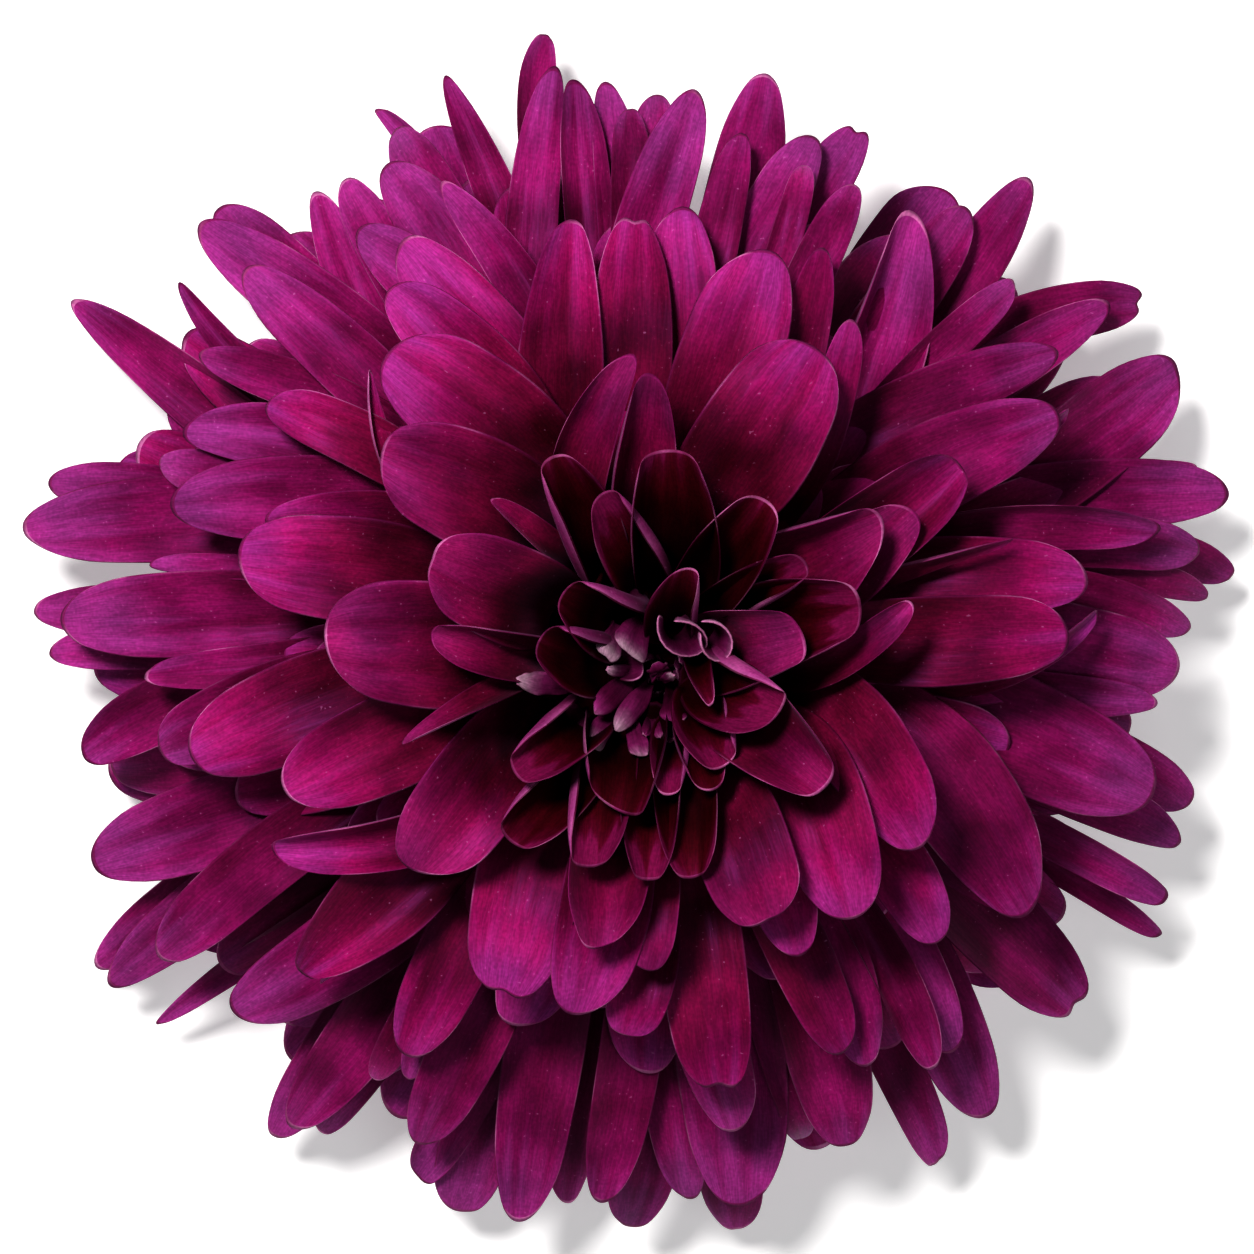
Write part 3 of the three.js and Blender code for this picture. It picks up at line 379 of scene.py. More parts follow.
# The florets that show, one row each: tip x and y, a point on the body x and y, width (all in pixels
# of that view), how far the tip lies above the dome (mm), and the form.
FLORETS = [
    # left and upper left, outer
    [76, 296, 200, 395, 72, 1, "pointed"], [222, 204, 310, 290, 66, -2, "strap"],
    [200, 222, 330, 315, 74, 2, "strap"], [181, 279, 235, 348, 32, -3, "hooked"],
    [245, 267, 340, 350, 70, 2, "strap"], [200, 352, 310, 385, 52, -1, "strap"],
    [378, 108, 432, 175, 32, -3, "hooked"], [395, 130, 440, 200, 60, -1, "strap"],
    [345, 178, 400, 270, 54, -4, "strap"], [320, 188, 372, 320, 56, -3, "strap"],
    [388, 162, 450, 243, 76, 1, "blunt"], [358, 228, 440, 290, 70, 1, "strap"],
    [400, 240, 500, 360, 92, 3, "blunt"], [390, 285, 465, 350, 80, 4, "strap"],
    [388, 348, 505, 430, 110, 5, "blunt"], [372, 366, 380, 440, 26, 0, "edge"],
    [184, 425, 310, 435, 66, 2, "strap"], [268, 398, 350, 430, 58, 3, "strap"],
    [161, 464, 230, 470, 50, -1, "strap"], [25, 530, 170, 512, 88, 1, "strap"],
    [50, 482, 170, 490, 60, -2, "strap"], [150, 560, 235, 562, 26, -4, "strap"],
    [170, 502, 330, 495, 92, 3, "strap"], [265, 520, 370, 515, 60, 3, "blunt"],
    [237, 555, 380, 570, 106, 5, "blunt"], [323, 638, 460, 638, 126, 6, "blunt"],
    [60, 617, 200, 608, 88, 1, "strap"], [34, 608, 150, 605, 60, -2, "strap"],
    [49, 648, 160, 640, 50, -4, "strap"], [143, 672, 290, 660, 46, 0, "arched"],
    [82, 755, 170, 705, 70, 0, "lilac"], [158, 748, 240, 705, 72, 0, "strap"],
    [189, 756, 300, 705, 100, 2, "blunt"], [282, 790, 380, 740, 100, 4, "blunt"],
    [400, 742, 480, 700, 34, 6, "edge"],
    # lower left
    [88, 860, 230, 810, 92, 1, "strap"], [92, 968, 200, 885, 60, -2, "strap"],
    [104, 985, 230, 880, 66, 0, "strap"], [155, 958, 250, 870, 70, 2, "strap"],
    [153, 1027, 210, 990, 30, -4, "hooked"], [269, 848, 380, 840, 52, 3, "trough"],
    [298, 975, 370, 905, 100, 3, "pointed"], [317, 985, 370, 930, 24, -1, "edge"],
    [232, 1018, 340, 950, 90, 0, "strap"], [272, 1145, 330, 1050, 60, -2, "strap"],
    [287, 1135, 370, 1020, 76, 0, "strap"], [315, 1137, 360, 1080, 40, -5, "strap"],
    [372, 1085, 400, 1030, 36, -5, "strap"], [405, 1085, 430, 1020, 36, -4, "strap"],
    [412, 872, 470, 790, 100, 5, "blunt"], [404, 1062, 450, 960, 76, 0, "strap"],
    [500, 1002, 525, 890, 106, 4, "notched"], [418, 1153, 460, 1060, 76, 0, "strap"],
    [415, 1187, 455, 1120, 56, -4, "lilac"], [455, 1222, 480, 1130, 76, -3, "strap"],
    [520, 1235, 540, 1080, 82, 1, "strap"], [565, 1215, 575, 1120, 50, -5, "strap"],
    [600, 1216, 625, 1080, 64, 1, "strap"], [628, 1240, 650, 1140, 72, -3, "strap"],
    [690, 1212, 672, 1110, 62, -2, "strap"], [743, 1222, 730, 1060, 112, 1, "strap"],
    [738, 1245, 730, 1160, 72, -4, "strap"], [738, 1142, 710, 1040, 72, 0, "strap"],
    [720, 1102, 705, 980, 86, 3, "notched"], [625, 1042, 640, 990, 66, 2, "blunt"],
    [575, 1021, 600, 920, 90, 4, "blunt"], [600, 952, 605, 890, 82, 5, "cupped"],
    [645, 975, 650, 910, 56, 2, "strap"],
    # lower right
    [770, 928, 735, 830, 96, 5, "broad"], [800, 963, 775, 880, 70, 2, "strap"],
    [848, 1062, 805, 970, 66, 1, "strap"], [870, 1077, 845, 980, 62, 0, "strap"],
    [855, 925, 820, 810, 98, 5, "blunt"], [942, 950, 905, 880, 66, 2, "strap"],
    [938, 1080, 895, 980, 42, 2, "trough"], [957, 1064, 910, 960, 62, 0, "strap"],
    [943, 1177, 905, 1090, 50, -1, "trough"], [805, 1150, 790, 1100, 36, -5, "strap"],
    [850, 1160, 830, 1060, 86, -1, "strap"], [988, 1133, 935, 1000, 82, 0, "strap"],
    [1088, 1022, 990, 920, 96, 0, "notched"], [1036, 921, 930, 760, 112, 3, "blunt"],
    [1175, 909, 1060, 845, 40, 0, "folded"], [1168, 947, 1070, 880, 30, -2, "folded"],
    [1188, 850, 1090, 800, 56, -1, "strap"], [1197, 812, 1110, 760, 62, -2, "strap"],
    [1161, 803, 1010, 730, 112, 2, "blunt"], [925, 852, 850, 730, 94, 5, "blunt"],
    [830, 790, 780, 745, 86, 5, "hooded"], [1163, 706, 1050, 695, 44, 0, "strap"],
    # right
    [1184, 677, 1070, 650, 96, 1, "strap"], [1192, 638, 1110, 600, 52, -1, "strap"],
    [1213, 600, 1130, 575, 38, -3, "strap"], [1237, 582, 1150, 550, 48, -4, "strap"],
    [1203, 558, 1110, 540, 56, -1, "strap"], [1163, 535, 1040, 525, 44, 1, "trough"],
    [1234, 495, 1050, 500, 76, 1, "strap"], [1200, 472, 1100, 480, 30, -3, "strap"],
    [1092, 580, 960, 575, 78, 4, "blunt"], [1100, 612, 1040, 660, 30, 1, "edge"],
    [1073, 636, 930, 640, 92, 5, "blunt"], [1015, 541, 940, 560, 24, 3, "edge"],
    [1182, 370, 1075, 450, 96, 0, "strap"], [1062, 415, 950, 460, 92, 3, "blunt"],
    [1070, 410, 1020, 450, 24, 0, "edge"], [1060, 352, 920, 400, 64, 3, "strap"],
    [1112, 305, 1000, 370, 62, 1, "lilac"], [1146, 305, 1040, 320, 62, -1, "notched"],
    [1015, 283, 950, 340, 42, -1, "strap"], [1030, 178, 930, 320, 66, 0, "strap"],
    [968, 208, 900, 300, 62, -2, "strap"], [915, 209, 880, 340, 82, 1, "hooded"],
    # top
    [860, 126, 800, 220, 58, -2, "notched"], [812, 135, 760, 230, 62, -1, "strap"],
    [803, 165, 790, 220, 32, 0, "strap"], [855, 184, 815, 260, 48, 1, "strap"],
    [822, 246, 800, 350, 52, 2, "strap"], [853, 318, 825, 420, 48, 4, "strap"],
    [815, 345, 740, 460, 122, 6, "blunt"], [763, 247, 720, 380, 102, 4, "blunt"],
    [765, 73, 740, 200, 76, 1, "blunt"], [740, 132, 715, 240, 48, 1, "strap"],
    [698, 90, 650, 220, 68, 2, "strap"], [657, 94, 650, 180, 56, -3, "strap"],
    [606, 81, 620, 200, 52, -1, "strap"], [630, 108, 630, 180, 42, -1, "strap"],
    [577, 79, 590, 230, 48, 1, "folded"], [555, 65, 530, 250, 54, 2, "strap"],
    [547, 34, 540, 110, 40, -3, "lilac"], [446, 75, 500, 200, 48, -1, "pointed"],
    [441, 181, 505, 260, 48, 2, "hooked"], [570, 217, 560, 370, 86, 3, "pointed"],
    [635, 211, 630, 350, 82, 2, "notched"], [678, 205, 680, 330, 78, 0, "strap"],
    [630, 350, 585, 450, 56, 6, "hooded"], [650, 369, 640, 460, 62, 5, "hooded"],
    # cups round the heart
    [668, 446, 672, 540, 82, 3, "cup_open"], [552, 452, 590, 545, 60, 3, "cup_turned_left"],
    [601, 490, 645, 560, 58, 1, "cup_turned_right"], [490, 496, 550, 545, 30, 3, "edge"],
    [428, 555, 540, 600, 100, 5, "broad"], [430, 630, 520, 650, 46, 3, "trough"],
    [380, 452, 500, 500, 112, 6, "blunt"], [765, 496, 710, 580, 70, 3, "cup_open"],
    [885, 520, 810, 560, 104, 4, "hooded"], [913, 508, 850, 560, 80, 2, "hooded"],
    [960, 462, 890, 520, 82, 3, "folded"], [806, 560, 750, 595, 44, 2, "cup_turned_right"],
    [864, 608, 790, 625, 84, 3, "cup_open"], [913, 602, 840, 660, 34, 3, "trough"],
    [562, 590, 612, 612, 68, 1, "cup_right"], [684, 566, 675, 620, 52, 1, "cup_turned_right"],
    [540, 634, 590, 650, 62, 1, "cup_right"], [513, 773, 560, 735, 54, 3, "cup_right"],
    [508, 843, 560, 785, 58, 3, "cup_right"], [588, 870, 597, 800, 62, 3, "cup_right"],
    [647, 884, 650, 815, 58, 3, "cup_point"], [692, 882, 687, 815, 60, 3, "cup_point"],
    [614, 811, 622, 765, 80, 1, "cup_open"], [668, 797, 674, 752, 40, 0, "cup_turned_left"],
    [710, 793, 700, 755, 46, 0, "cup_open"], [725, 768, 711, 726, 60, 0, "cup_turned_left"],
    [783, 709, 740, 688, 68, 2, "cup_left"], [806, 634, 756, 647, 80, 2, "deep_hood"],
    [712, 705, 700, 672, 24, 0, "slim_cup"],
]

# The young florets of the heart, one row each: tip x and y, base x and y, width (pixels), the tip's
# height (mm), form, and tone from dark purple (0) to pale (1).
HEART_FLORETS = [
    [642, 664, 612, 660, 26, 41, "shell", -0.3], [628, 653, 642, 618, 42, 44, "lobe", 0.62],
    [605, 657, 617, 622, 30, 43.8, "lobe", 0.78], [606, 668, 634, 671, 14, 42.5, "spindle", 0.72],
    [594, 713, 632, 674, 27, 42.5, "spindle", 0.28], [615, 731, 649, 682, 24, 42.5, "spindle", 0.6],
    [589, 750, 613, 712, 24, 43, "spindle", 0.78], [587, 746, 583, 706, 16, 41.5, "spindle", 0.1],
    [567, 703, 584, 728, 18, 41, "spindle", 0.1], [642, 757, 628, 713, 22, 43, "bud", 0.46],
    [663, 679, 655, 664, 24, 42.5, "knob", -0.22], [672, 674, 661, 681, 11, 43.8, "spindle", 0.74],
    [673, 722, 671, 684, 28, 42.5, "bud", 0.2], [660, 738, 650, 712, 12, 42.5, "spindle", 0.4],
    [672, 742, 660, 722, 11, 42, "spindle", 0.3], [645, 735, 652, 712, 13, 42, "spindle", 0.15],
    [515, 677, 571, 687, 24, 43, "spindle", 0.7], [690, 745, 674, 722, 20, 40, "bud", 0.02],
    [728, 653, 710, 634, 36, 44.8, "tube", 0.36], [696, 652, 679, 631, 43, 43.9, "tube", 0.24],
]


class SeededDraw:
    """A seeded draw between 0 and 1, the same on every run."""

    def __init__(self, seed):
        self.state = seed

    def __call__(self):
        self.state = (self.state * 1664525 + 1013904223) % 4294967296
        return self.state / 4294967296

    def between(self, low, high):
        return low + (high - low) * self()


def ease(value):
    u = min(max(value, 0), 1)
    return u * u * (3 - 2 * u)


def blend(low, high, share):
    return low + (high - low) * share


def from_view(px, py, height):
    """The point at a height that shows at pixel (px, py)."""
    scale = PIXEL * (1 - (height - VIEW_PLANE) / VIEW_DISTANCE)
    rise = height - VIEW_PLANE
    x = (px - VIEW_MIDDLE[0]) * scale - VIEW_LEAN[0] * rise
    y = (VIEW_MIDDLE[1] - py) * scale - VIEW_LEAN[1] * rise
    return Vector((x, y, height))


def dome_height(reach):
    return DOME_TOP - DOME_FALL * (reach / BLOOM_RADIUS) ** 2


def tip_point(px, py, lift):
    """A tip lies on the dome, so its height and its place are settled together."""
    tip = from_view(px, py, VIEW_PLANE)
    for _ in range(SETTLING_PASSES):
        tip = from_view(px, py, dome_height(math.hypot(tip.x, tip.y)) + lift)
    return tip


def on_axis(clock, radius, height):
    return Vector((radius * math.cos(clock), radius * math.sin(clock), height))


def bezier(curve, t):
    base, bend, tip = curve
    u = 1 - t
    return base * (u * u) + bend * (2 * t * u) + tip * (t * t)


def curve_frame(curve, t):
    """Across and up from a floret's face, with no roll."""
    base, bend, tip = curve
    along = ((bend - base) * (1 - t) + (tip - bend) * t).normalized()
    across = Vector((-along.y, along.x, 0)).normalized()
    return across, along.cross(across)


def curve_length(curve):
    base, bend, tip = curve
    return ((bend - base).length + (tip - bend).length + (tip - base).length) / 2


def visible_curve(row):
    """The centre line of a floret that shows: from the receptacle, over its body point, to its tip."""
    tip_x, tip_y, body_x, body_y, _, lift, _ = row
    tip = tip_point(tip_x, tip_y, lift)
    share = min(math.hypot(tip.x, tip.y) / BLOOM_RADIUS, 1)
    polar = math.radians(FIRST_POLAR + POLAR_SPREAD * share ** POLAR_POWER)
    base_height = RECEPTACLE_FOOT + RECEPTACLE_RISE * math.cos(polar)
    base_reach = RECEPTACLE_RADIUS * math.sin(polar)
    bend_height = tip.z + TIP_ARCH * share ** 2 - CUP_DIP * (1 - share)

    near = from_view(body_x, body_y, (base_height + tip.z) / 2)
    inner = math.hypot(near.x, near.y)
    outer = math.hypot(tip.x - near.x, tip.y - near.y)
    t = min(max(inner / (inner + outer), BODY_SHARES[0]), BODY_SHARES[1])
    u = 1 - t
    body_height = u * u * base_height + 2 * t * u * bend_height + t * t * tip.z
    body = from_view(body_x, body_y, body_height)
    base = on_axis(math.atan2(body.y, body.x), base_reach, base_height)
    bend = (body - base * (u * u) - tip * (t * t)) / (2 * t * u)
    return base, bend, tip


def width_share(shape, t):
    """Half the width at t as a share of the full half width: a narrow claw, then a taper."""
    widest = shape["widest"]
    share = CLAW_WIDTH + (1 - CLAW_WIDTH) * ease(t / widest)
    if t > widest:
        share *= 1 - (1 - shape["end"]) * ((t - widest) / (1 - widest)) ** TAPER_POWER
    return share


def channel_at(shape, t):
    if t < 0.5:
        return math.radians(blend(CLAW_CHANNEL, shape["middle"], ease(t / 0.5)))
    return math.radians(blend(shape["middle"], shape["tip"], ease((t - 0.5) / 0.5)))


def cross_section(shape, s, t):
    """Where s lies across and above the rib, as shares of half the flat width."""
    channel = channel_at(shape, t)
    curl = math.radians(shape["right"] if s > 0 else shape["left"]) * ease(t / CURLED_FROM)
    eased_from, eased_by = CURL_EASED
    curl *= 1 - eased_by * ease((t - eased_from) / (1 - eased_from))
    across = rise = 0
    for step in range(SECTION_STEPS):
        share = (step + 0.5) / SECTION_STEPS * abs(s)
        angle = channel * share + curl * share ** CURL_POWER
        across += math.cos(angle)
        rise += math.sin(angle)
    size = s / SECTION_STEPS
    return across * size, rise * abs(size)


def seen_width(shape):
    """How much of a blade's flat width shows from above where it is widest."""
    probes = [step / WIDTH_PROBES - 1 for step in range(2 * WIDTH_PROBES + 1)]
    spots = [cross_section(shape, s, shape["widest"])[0] for s in probes]
    return (max(spots) - min(spots)) / 2


def relief(shape, half_width, s, t):
    """Folds, grooves and waves that stand off the plain channel of a blade."""
    grown = ease(t * 2)
    fold = math.sqrt((s - shape["fold_at"]) ** 2 + FOLD_SOFTNESS) - 0.5
    grooves = math.cos(s * GROOVES * math.pi + shape["phase"]) * (1 - s * s)
    wave = s ** 4 * math.sin(t * shape["waves"] + shape["phase"] + s)
    return grown * (shape["fold"] * half_width * fold + shape["ridge"] * grooves + shape["wave"] * wave)


def blade_point(curve, flat_width, shape, s, t):
    """The point of a blade at s across (-1 to 1) and t along (0 to 1)."""
    start = 1 - shape["round"]
    narrowing = 1
    if t > start:
        u = (t - start) / shape["round"]
        narrowing = math.sqrt(1 - u * u / 2)
        t = start + shape["round"] * u * math.sqrt(1 - s * s / 2) * (1 - shape["skew"] * s * u)
        t -= shape["notch"] * u * math.exp(-((s / NOTCH_WIDTH) ** 2))
    across, normal = curve_frame(curve, t)
    roll = math.radians(shape["roll"]) * ease(t) + shape["swing"] * math.sin(math.pi * t)
    side = across * math.cos(roll) + normal * math.sin(roll)
    face = normal * math.cos(roll) - across * math.sin(roll)
    lopped = t + shape["lop"] * s * t * (1 - t)
    half_width = flat_width / 2 * width_share(shape, lopped) * narrowing
    sideways, upwards = cross_section(shape, s, t)
    hood = shape["hood"] * curve_length(curve) * max(0, (t - HOOD_FROM) / (1 - HOOD_FROM)) ** 2
    rise = half_width * upwards + relief(shape, half_width, s, t)
    return bezier(curve, t) + normal * hood - side * (half_width * sideways) + face * rise


def settle_hood(curve, shape):
    """The tip given is where the floret ends after its hood has turned it in."""
    base, bend, tip = curve
    settled = tip
    for _ in range(SETTLING_PASSES):
        _, normal = curve_frame((base, bend, settled), 1)
        settled = tip - normal * (shape["hood"] * curve_length((base, bend, settled)))
    return base, bend, settled


def grown_shape(form, draw):
    """A form as one floret grew it, with small differences from its neighbours."""
    shape = dict(form)
    shape["roll"] += draw.between(-ROLL_SPREAD, ROLL_SPREAD)
    shape["middle"] += draw.between(-CHANNEL_SPREAD, CHANNEL_SPREAD)
    shape["tip"] += draw.between(-CHANNEL_SPREAD, CHANNEL_SPREAD)
    shape["left"] += draw.between(-CURL_SPREAD, CURL_SPREAD)
    shape["right"] += draw.between(-CURL_SPREAD, CURL_SPREAD)
    shape["hood"] += draw.between(-HOOD_SPREAD, HOOD_SPREAD)
    shape["end"] = min(shape["end"] + draw.between(-END_SPREAD, END_SPREAD), 1)
    shape["round"] *= 1 + draw.between(-ROUND_SPREAD, ROUND_SPREAD)
    shape["ridge"] = draw.between(0, RIDGE_DEPTH)
    shape["fold"] = draw.between(*FOLD_SLOPE)
    shape["fold_at"] = draw.between(-FOLD_PLACE, FOLD_PLACE)
    shape["swing"] = draw.between(-SWING, SWING)
    shape["lop"] = draw.between(-LOP, LOP)
    shape["skew"] = draw.between(-SKEW, SKEW)
    shape["wave"] = draw.between(*MARGIN_WAVE)
    shape["waves"] = draw.between(*WAVE_COUNT)
    shape["phase"] = draw.between(0, 2 * math.pi)
    return shape


def add_blade(bm, curve, width, form, draw, faces=BLADE_FACES, tone=None):
    """One blade as a shaped grid, with its place on the blade, its veins' scale and its tint."""
    shape = grown_shape(form, draw)
    tint = draw() if tone is None else tone
    settled = settle_hood(curve, shape)
    length = curve_length(settled)
    flat_width = width / seen_width(shape)
    across, along = faces
    grid = bmesh.ops.create_grid(bm, x_segments=across, y_segments=along, size=1)
    blade_uv = bm.loops.layers.uv["blade"]
    vein_uv = bm.loops.layers.uv["vein"]
    tints = bm.verts.layers.float["tint"]
    bodies = bm.verts.layers.deform.active
    for face in {face for vert in grid["verts"] for face in vert.link_faces}:
        face.smooth = True
        for loop in face.loops:
            s = loop.vert.co.x
            t = (loop.vert.co.y + 1) / 2
            loop[blade_uv].uv = ((s + 1) / 2, t)
            loop[vein_uv].uv = (s * flat_width / VEIN_ACROSS + tint * VEIN_SHIFT, t * length / VEIN_ALONG)
    for vert in grid["verts"]:
        s, t = vert.co.x, (vert.co.y + 1) / 2
        vert[tints] = tint
        vert[bodies][0] = 1 - max(abs(s), t) ** MARGIN_POWER
        vert.co = blade_point(settled, flat_width, shape, s, t) * MM


def add_object(name, data):
    """Links a new object to the scene."""
    obj = bpy.data.objects.new(name, data)
    bpy.context.scene.collection.objects.link(obj)
    return obj


def blade_bmesh():
    bm = bmesh.new()
    bm.loops.layers.uv.new("blade")
    bm.loops.layers.uv.new("vein")
    bm.verts.layers.float.new("tint")
    bm.verts.layers.deform.verify()
    return bm


def finish_piece(bm, name, materials, slot, *nodes):
    """Makes a bmesh an object of the frame that stands for CAD nodes."""
    mesh = bpy.data.meshes.new(name)
    bm.to_mesh(mesh)
    bm.free()
    piece = add_object(name, mesh)
    for material in materials:
        mesh.materials.append(material)
    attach(piece, "root")
    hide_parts(*nodes)
    return piece


def thicken(piece, thickness, at_margin=MARGIN_THICKNESS):
    """Gives blades their thickness, a reverse and a rim of their own, and rounds them."""
    piece.vertex_groups.new(name="body")
    solid = piece.modifiers.new("thickness", "SOLIDIFY")
    solid.thickness = thickness * MM
    solid.vertex_group = "body"
    solid.thickness_vertex_group = at_margin
    solid.offset = -1
    solid.use_even_offset = False
    solid.material_offset = 1
    solid.material_offset_rim = 2
    smooth = piece.modifiers.new("rounding", "SUBSURF")
    smooth.levels = 1
    smooth.render_levels = 1


# Materials

def new_material(name):
    material = bpy.data.materials.new(name)
    material.use_nodes = True
    nodes = material.node_tree.nodes
    shader = nodes["Principled BSDF"]
    return material, material.node_tree, shader


def add_node(tree, kind, **values):
    node = tree.nodes.new(kind)
    for key, value in values.items():
        setattr(node, key, value)
    return node


def mapped(tree, source, scale, location=(0, 0, 0)):
    mapping = add_node(tree, "ShaderNodeMapping")
    mapping.inputs["Scale"].default_value = scale
    mapping.inputs["Location"].default_value = location
    tree.links.new(source, mapping.inputs["Vector"])
    return mapping.outputs["Vector"]


def noise(tree, vector, detail=2, roughness=0.5, dimensions="3D"):
    node = add_node(tree, "ShaderNodeTexNoise", noise_dimensions=dimensions)
    node.inputs["Scale"].default_value = 1
    node.inputs["Detail"].default_value = detail
    node.inputs["Roughness"].default_value = roughness
    tree.links.new(vector, node.inputs["Vector"])
    return node.outputs["Fac"]


def math_node(tree, operation, first, second=None):
    node = add_node(tree, "ShaderNodeMath", operation=operation)
    for socket, value in zip(node.inputs, (first, second)):
        if value is None:
            continue
        if isinstance(value, (int, float)):
            socket.default_value = value
        else:
            tree.links.new(value, socket)
    return node.outputs[0]


def plus(tree, first, second):
    return math_node(tree, "ADD", first, second)


def times(tree, first, second):
    return math_node(tree, "MULTIPLY", first, second)


def off_middle(tree, value):
    """How far a value between 0 and 1 lies from its middle: 0.5 at a blade's margin."""
    return math_node(tree, "ABSOLUTE", math_node(tree, "SUBTRACT", value, 0.5))


def remap(tree, value, low, high, to_low, to_high):
    node = add_node(tree, "ShaderNodeMapRange")
    tree.links.new(value, node.inputs["Value"])
    for name, number in (("From Min", low), ("From Max", high), ("To Min", to_low), ("To Max", to_high)):
        node.inputs[name].default_value = number
    return node.outputs["Result"]


def mix(tree, factor, first, second, blend_type="MIX"):
    node = add_node(tree, "ShaderNodeMix", data_type="RGBA", blend_type=blend_type)
    for socket, value in ((node.inputs[0], factor), (node.inputs[6], first), (node.inputs[7], second)):
        if isinstance(value, (int, float)):
            socket.default_value = value
        elif isinstance(value, tuple):
            socket.default_value = (*value, 1)
        else:
            tree.links.new(value, socket)
    return node.outputs[2]


def ramp(tree, factor, stops):
    node = add_node(tree, "ShaderNodeValToRGB")
    elements = node.color_ramp.elements
    while len(elements) < len(stops):
        elements.new(0.5)
    for element, (place, colour) in zip(elements, stops):
        element.position = place
        element.color = (*colour, 1)
    tree.links.new(factor, node.inputs["Fac"])
    return node.outputs["Color"]


def uv(tree, name):
    return add_node(tree, "ShaderNodeUVMap", uv_map=name).outputs["UV"]


def attribute(tree, name):
    return add_node(tree, "ShaderNodeAttribute", attribute_name=name).outputs["Fac"]


def lightened(tree, colour, lift):
    """The colour times a grey."""
    grey = add_node(tree, "ShaderNodeCombineColor")
    for socket in grey.inputs:
        tree.links.new(lift, socket)
    return mix(tree, 1, colour, grey.outputs[0], "MULTIPLY")


def roughen(tree, shader, height, strength, depth):
    bump = add_node(tree, "ShaderNodeBump")
    bump.inputs["Strength"].default_value = strength
    bump.inputs["Distance"].default_value = depth
    tree.links.new(height, bump.inputs["Height"])
    tree.links.new(bump.outputs[0], shader.inputs["Normal"])


def petal_material(name, stops, margin, veins, tinge, roughness=0.5, tint_shift=0.08, lip=0, patchy=0,
                   down_weight=0.08, shine=SHINE, gloss=0.3, grain=0.5, dust=0.34):
    """A petal's tissue: colour along the blade (darker toward the base, partly as painted shade), veins,
    a margin (a painted highlight on a face), painted light toward a cup's margins, and each floret's own
    shade.
    """
    material, tree, shader = new_material(name)
    place = add_node(tree, "ShaderNodeSeparateXYZ")
    tree.links.new(uv(tree, "blade"), place.inputs[0])
    along = place.outputs["Y"]
    from_rib = off_middle(tree, place.outputs["X"])
    streaks = noise(tree, mapped(tree, uv(tree, "vein"), STREAK_SCALE), 1, 0.6, "2D")
    bands = noise(tree, mapped(tree, uv(tree, "vein"), BAND_SCALE, BAND_PLACE), 1, 0.5, "2D")
    coords = add_node(tree, "ShaderNodeTexCoord").outputs["Object"]
    clouds = noise(tree, mapped(tree, coords, CLOUD_SCALE), 1)
    cells = noise(tree, mapped(tree, coords, CELL_SCALE), 0)
    tint = attribute(tree, "tint")

    band_shift = remap(tree, bands, *NARROW_RANGE, -BAND_SHIFT, BAND_SHIFT)
    shift = plus(tree, band_shift, remap(tree, tint, 0, 1, -tint_shift, tint_shift))
    # A cup's face is lighter toward its margins: painted light on its walls, against the darker middle.
    if lip:
        near_lip = math_node(tree, "POWER", times(tree, from_rib, 2), WALL_LIGHT_POWER)
        shift = plus(tree, shift, times(tree, near_lip, lip))
    colour = ramp(tree, plus(tree, along, shift), stops)
    tinged = remap(tree, clouds, *TINGE_RANGE, 0, CLOUD_TINGE)
    if patchy:
        patches = remap(tree, clouds, *PATCH_RANGE, 0, patchy)
        tinged = times(tree, patches, remap(tree, along, *PATCH_ALONG, 0, 1))
    colour = mix(tree, tinged, colour, tinge)
    lift = remap(tree, off_middle(tree, streaks), 0, VEIN_LINE, 1 + veins, 1 - veins / 2)
    lift = times(tree, lift, remap(tree, clouds, *NARROW_RANGE, 1 - CLOUD_LIFT, 1 + CLOUD_LIFT))
    lift = times(tree, lift, remap(tree, cells, *WIDE_RANGE, 1 - CELL_LIFT, 1 + CELL_LIFT))
    colour = lightened(tree, colour, lift)
    # A lighter band along the margin: on a face a painted highlight, on a reverse partly paler tissue and
    # partly a painted highlight.
    margin_share, margin_colour, margin_weight = margin
    edge = remap(tree, from_rib, 0.5 - margin_share, 0.5, 0, margin_weight)
    edge = times(tree, edge, remap(tree, along, *EDGE_ALONG, EDGE_AT_BASE, 1))
    colour = mix(tree, edge, colour, margin_colour)
    if dust:
        colour = mix(tree, remap(tree, cells, *DUST_RANGE, 0, dust), colour, DUST)
    tree.links.new(colour, shader.inputs["Base Color"])

    rough = remap(tree, streaks, *WIDE_RANGE, roughness - 0.06, roughness + 0.08)
    tree.links.new(rough, shader.inputs["Roughness"])
    height = plus(tree, times(tree, streaks, STREAK_BUMP), times(tree, bands, BAND_BUMP))
    roughen(tree, shader, height, grain, BUMP_DEPTH)
    shader.inputs["Specular IOR Level"].default_value = gloss
    shader.inputs["Specular Tint"].default_value = (*shine, 1)
    shader.inputs["Sheen Weight"].default_value = down_weight
    shader.inputs["Sheen Roughness"].default_value = 0.4
    shader.inputs["Sheen Tint"].default_value = (*DOWN_TINT, 1)
    return material


def petal_set(kind, stops, tinge, reverse_stops, rim_stops, **face_looks):
    """Face, reverse and rim of one kind of petal."""
    face = petal_material(kind + "_face", stops, LIT_MARGIN, FACE_VEINS, tinge, **face_looks)
    reverse = petal_material(
        kind + "_reverse", reverse_stops, PALE_MARGIN, REVERSE_VEINS, PALE_TINGE,
        roughness=0.55, patchy=0.45, down_weight=0.05,
    )
    rim = petal_material(
        kind + "_rim", rim_stops, RIM_MARGIN, RIM_VEINS, PALE_TINGE,
        patchy=0.5, down_weight=0, grain=0.1,
    )
    return face, reverse, rim


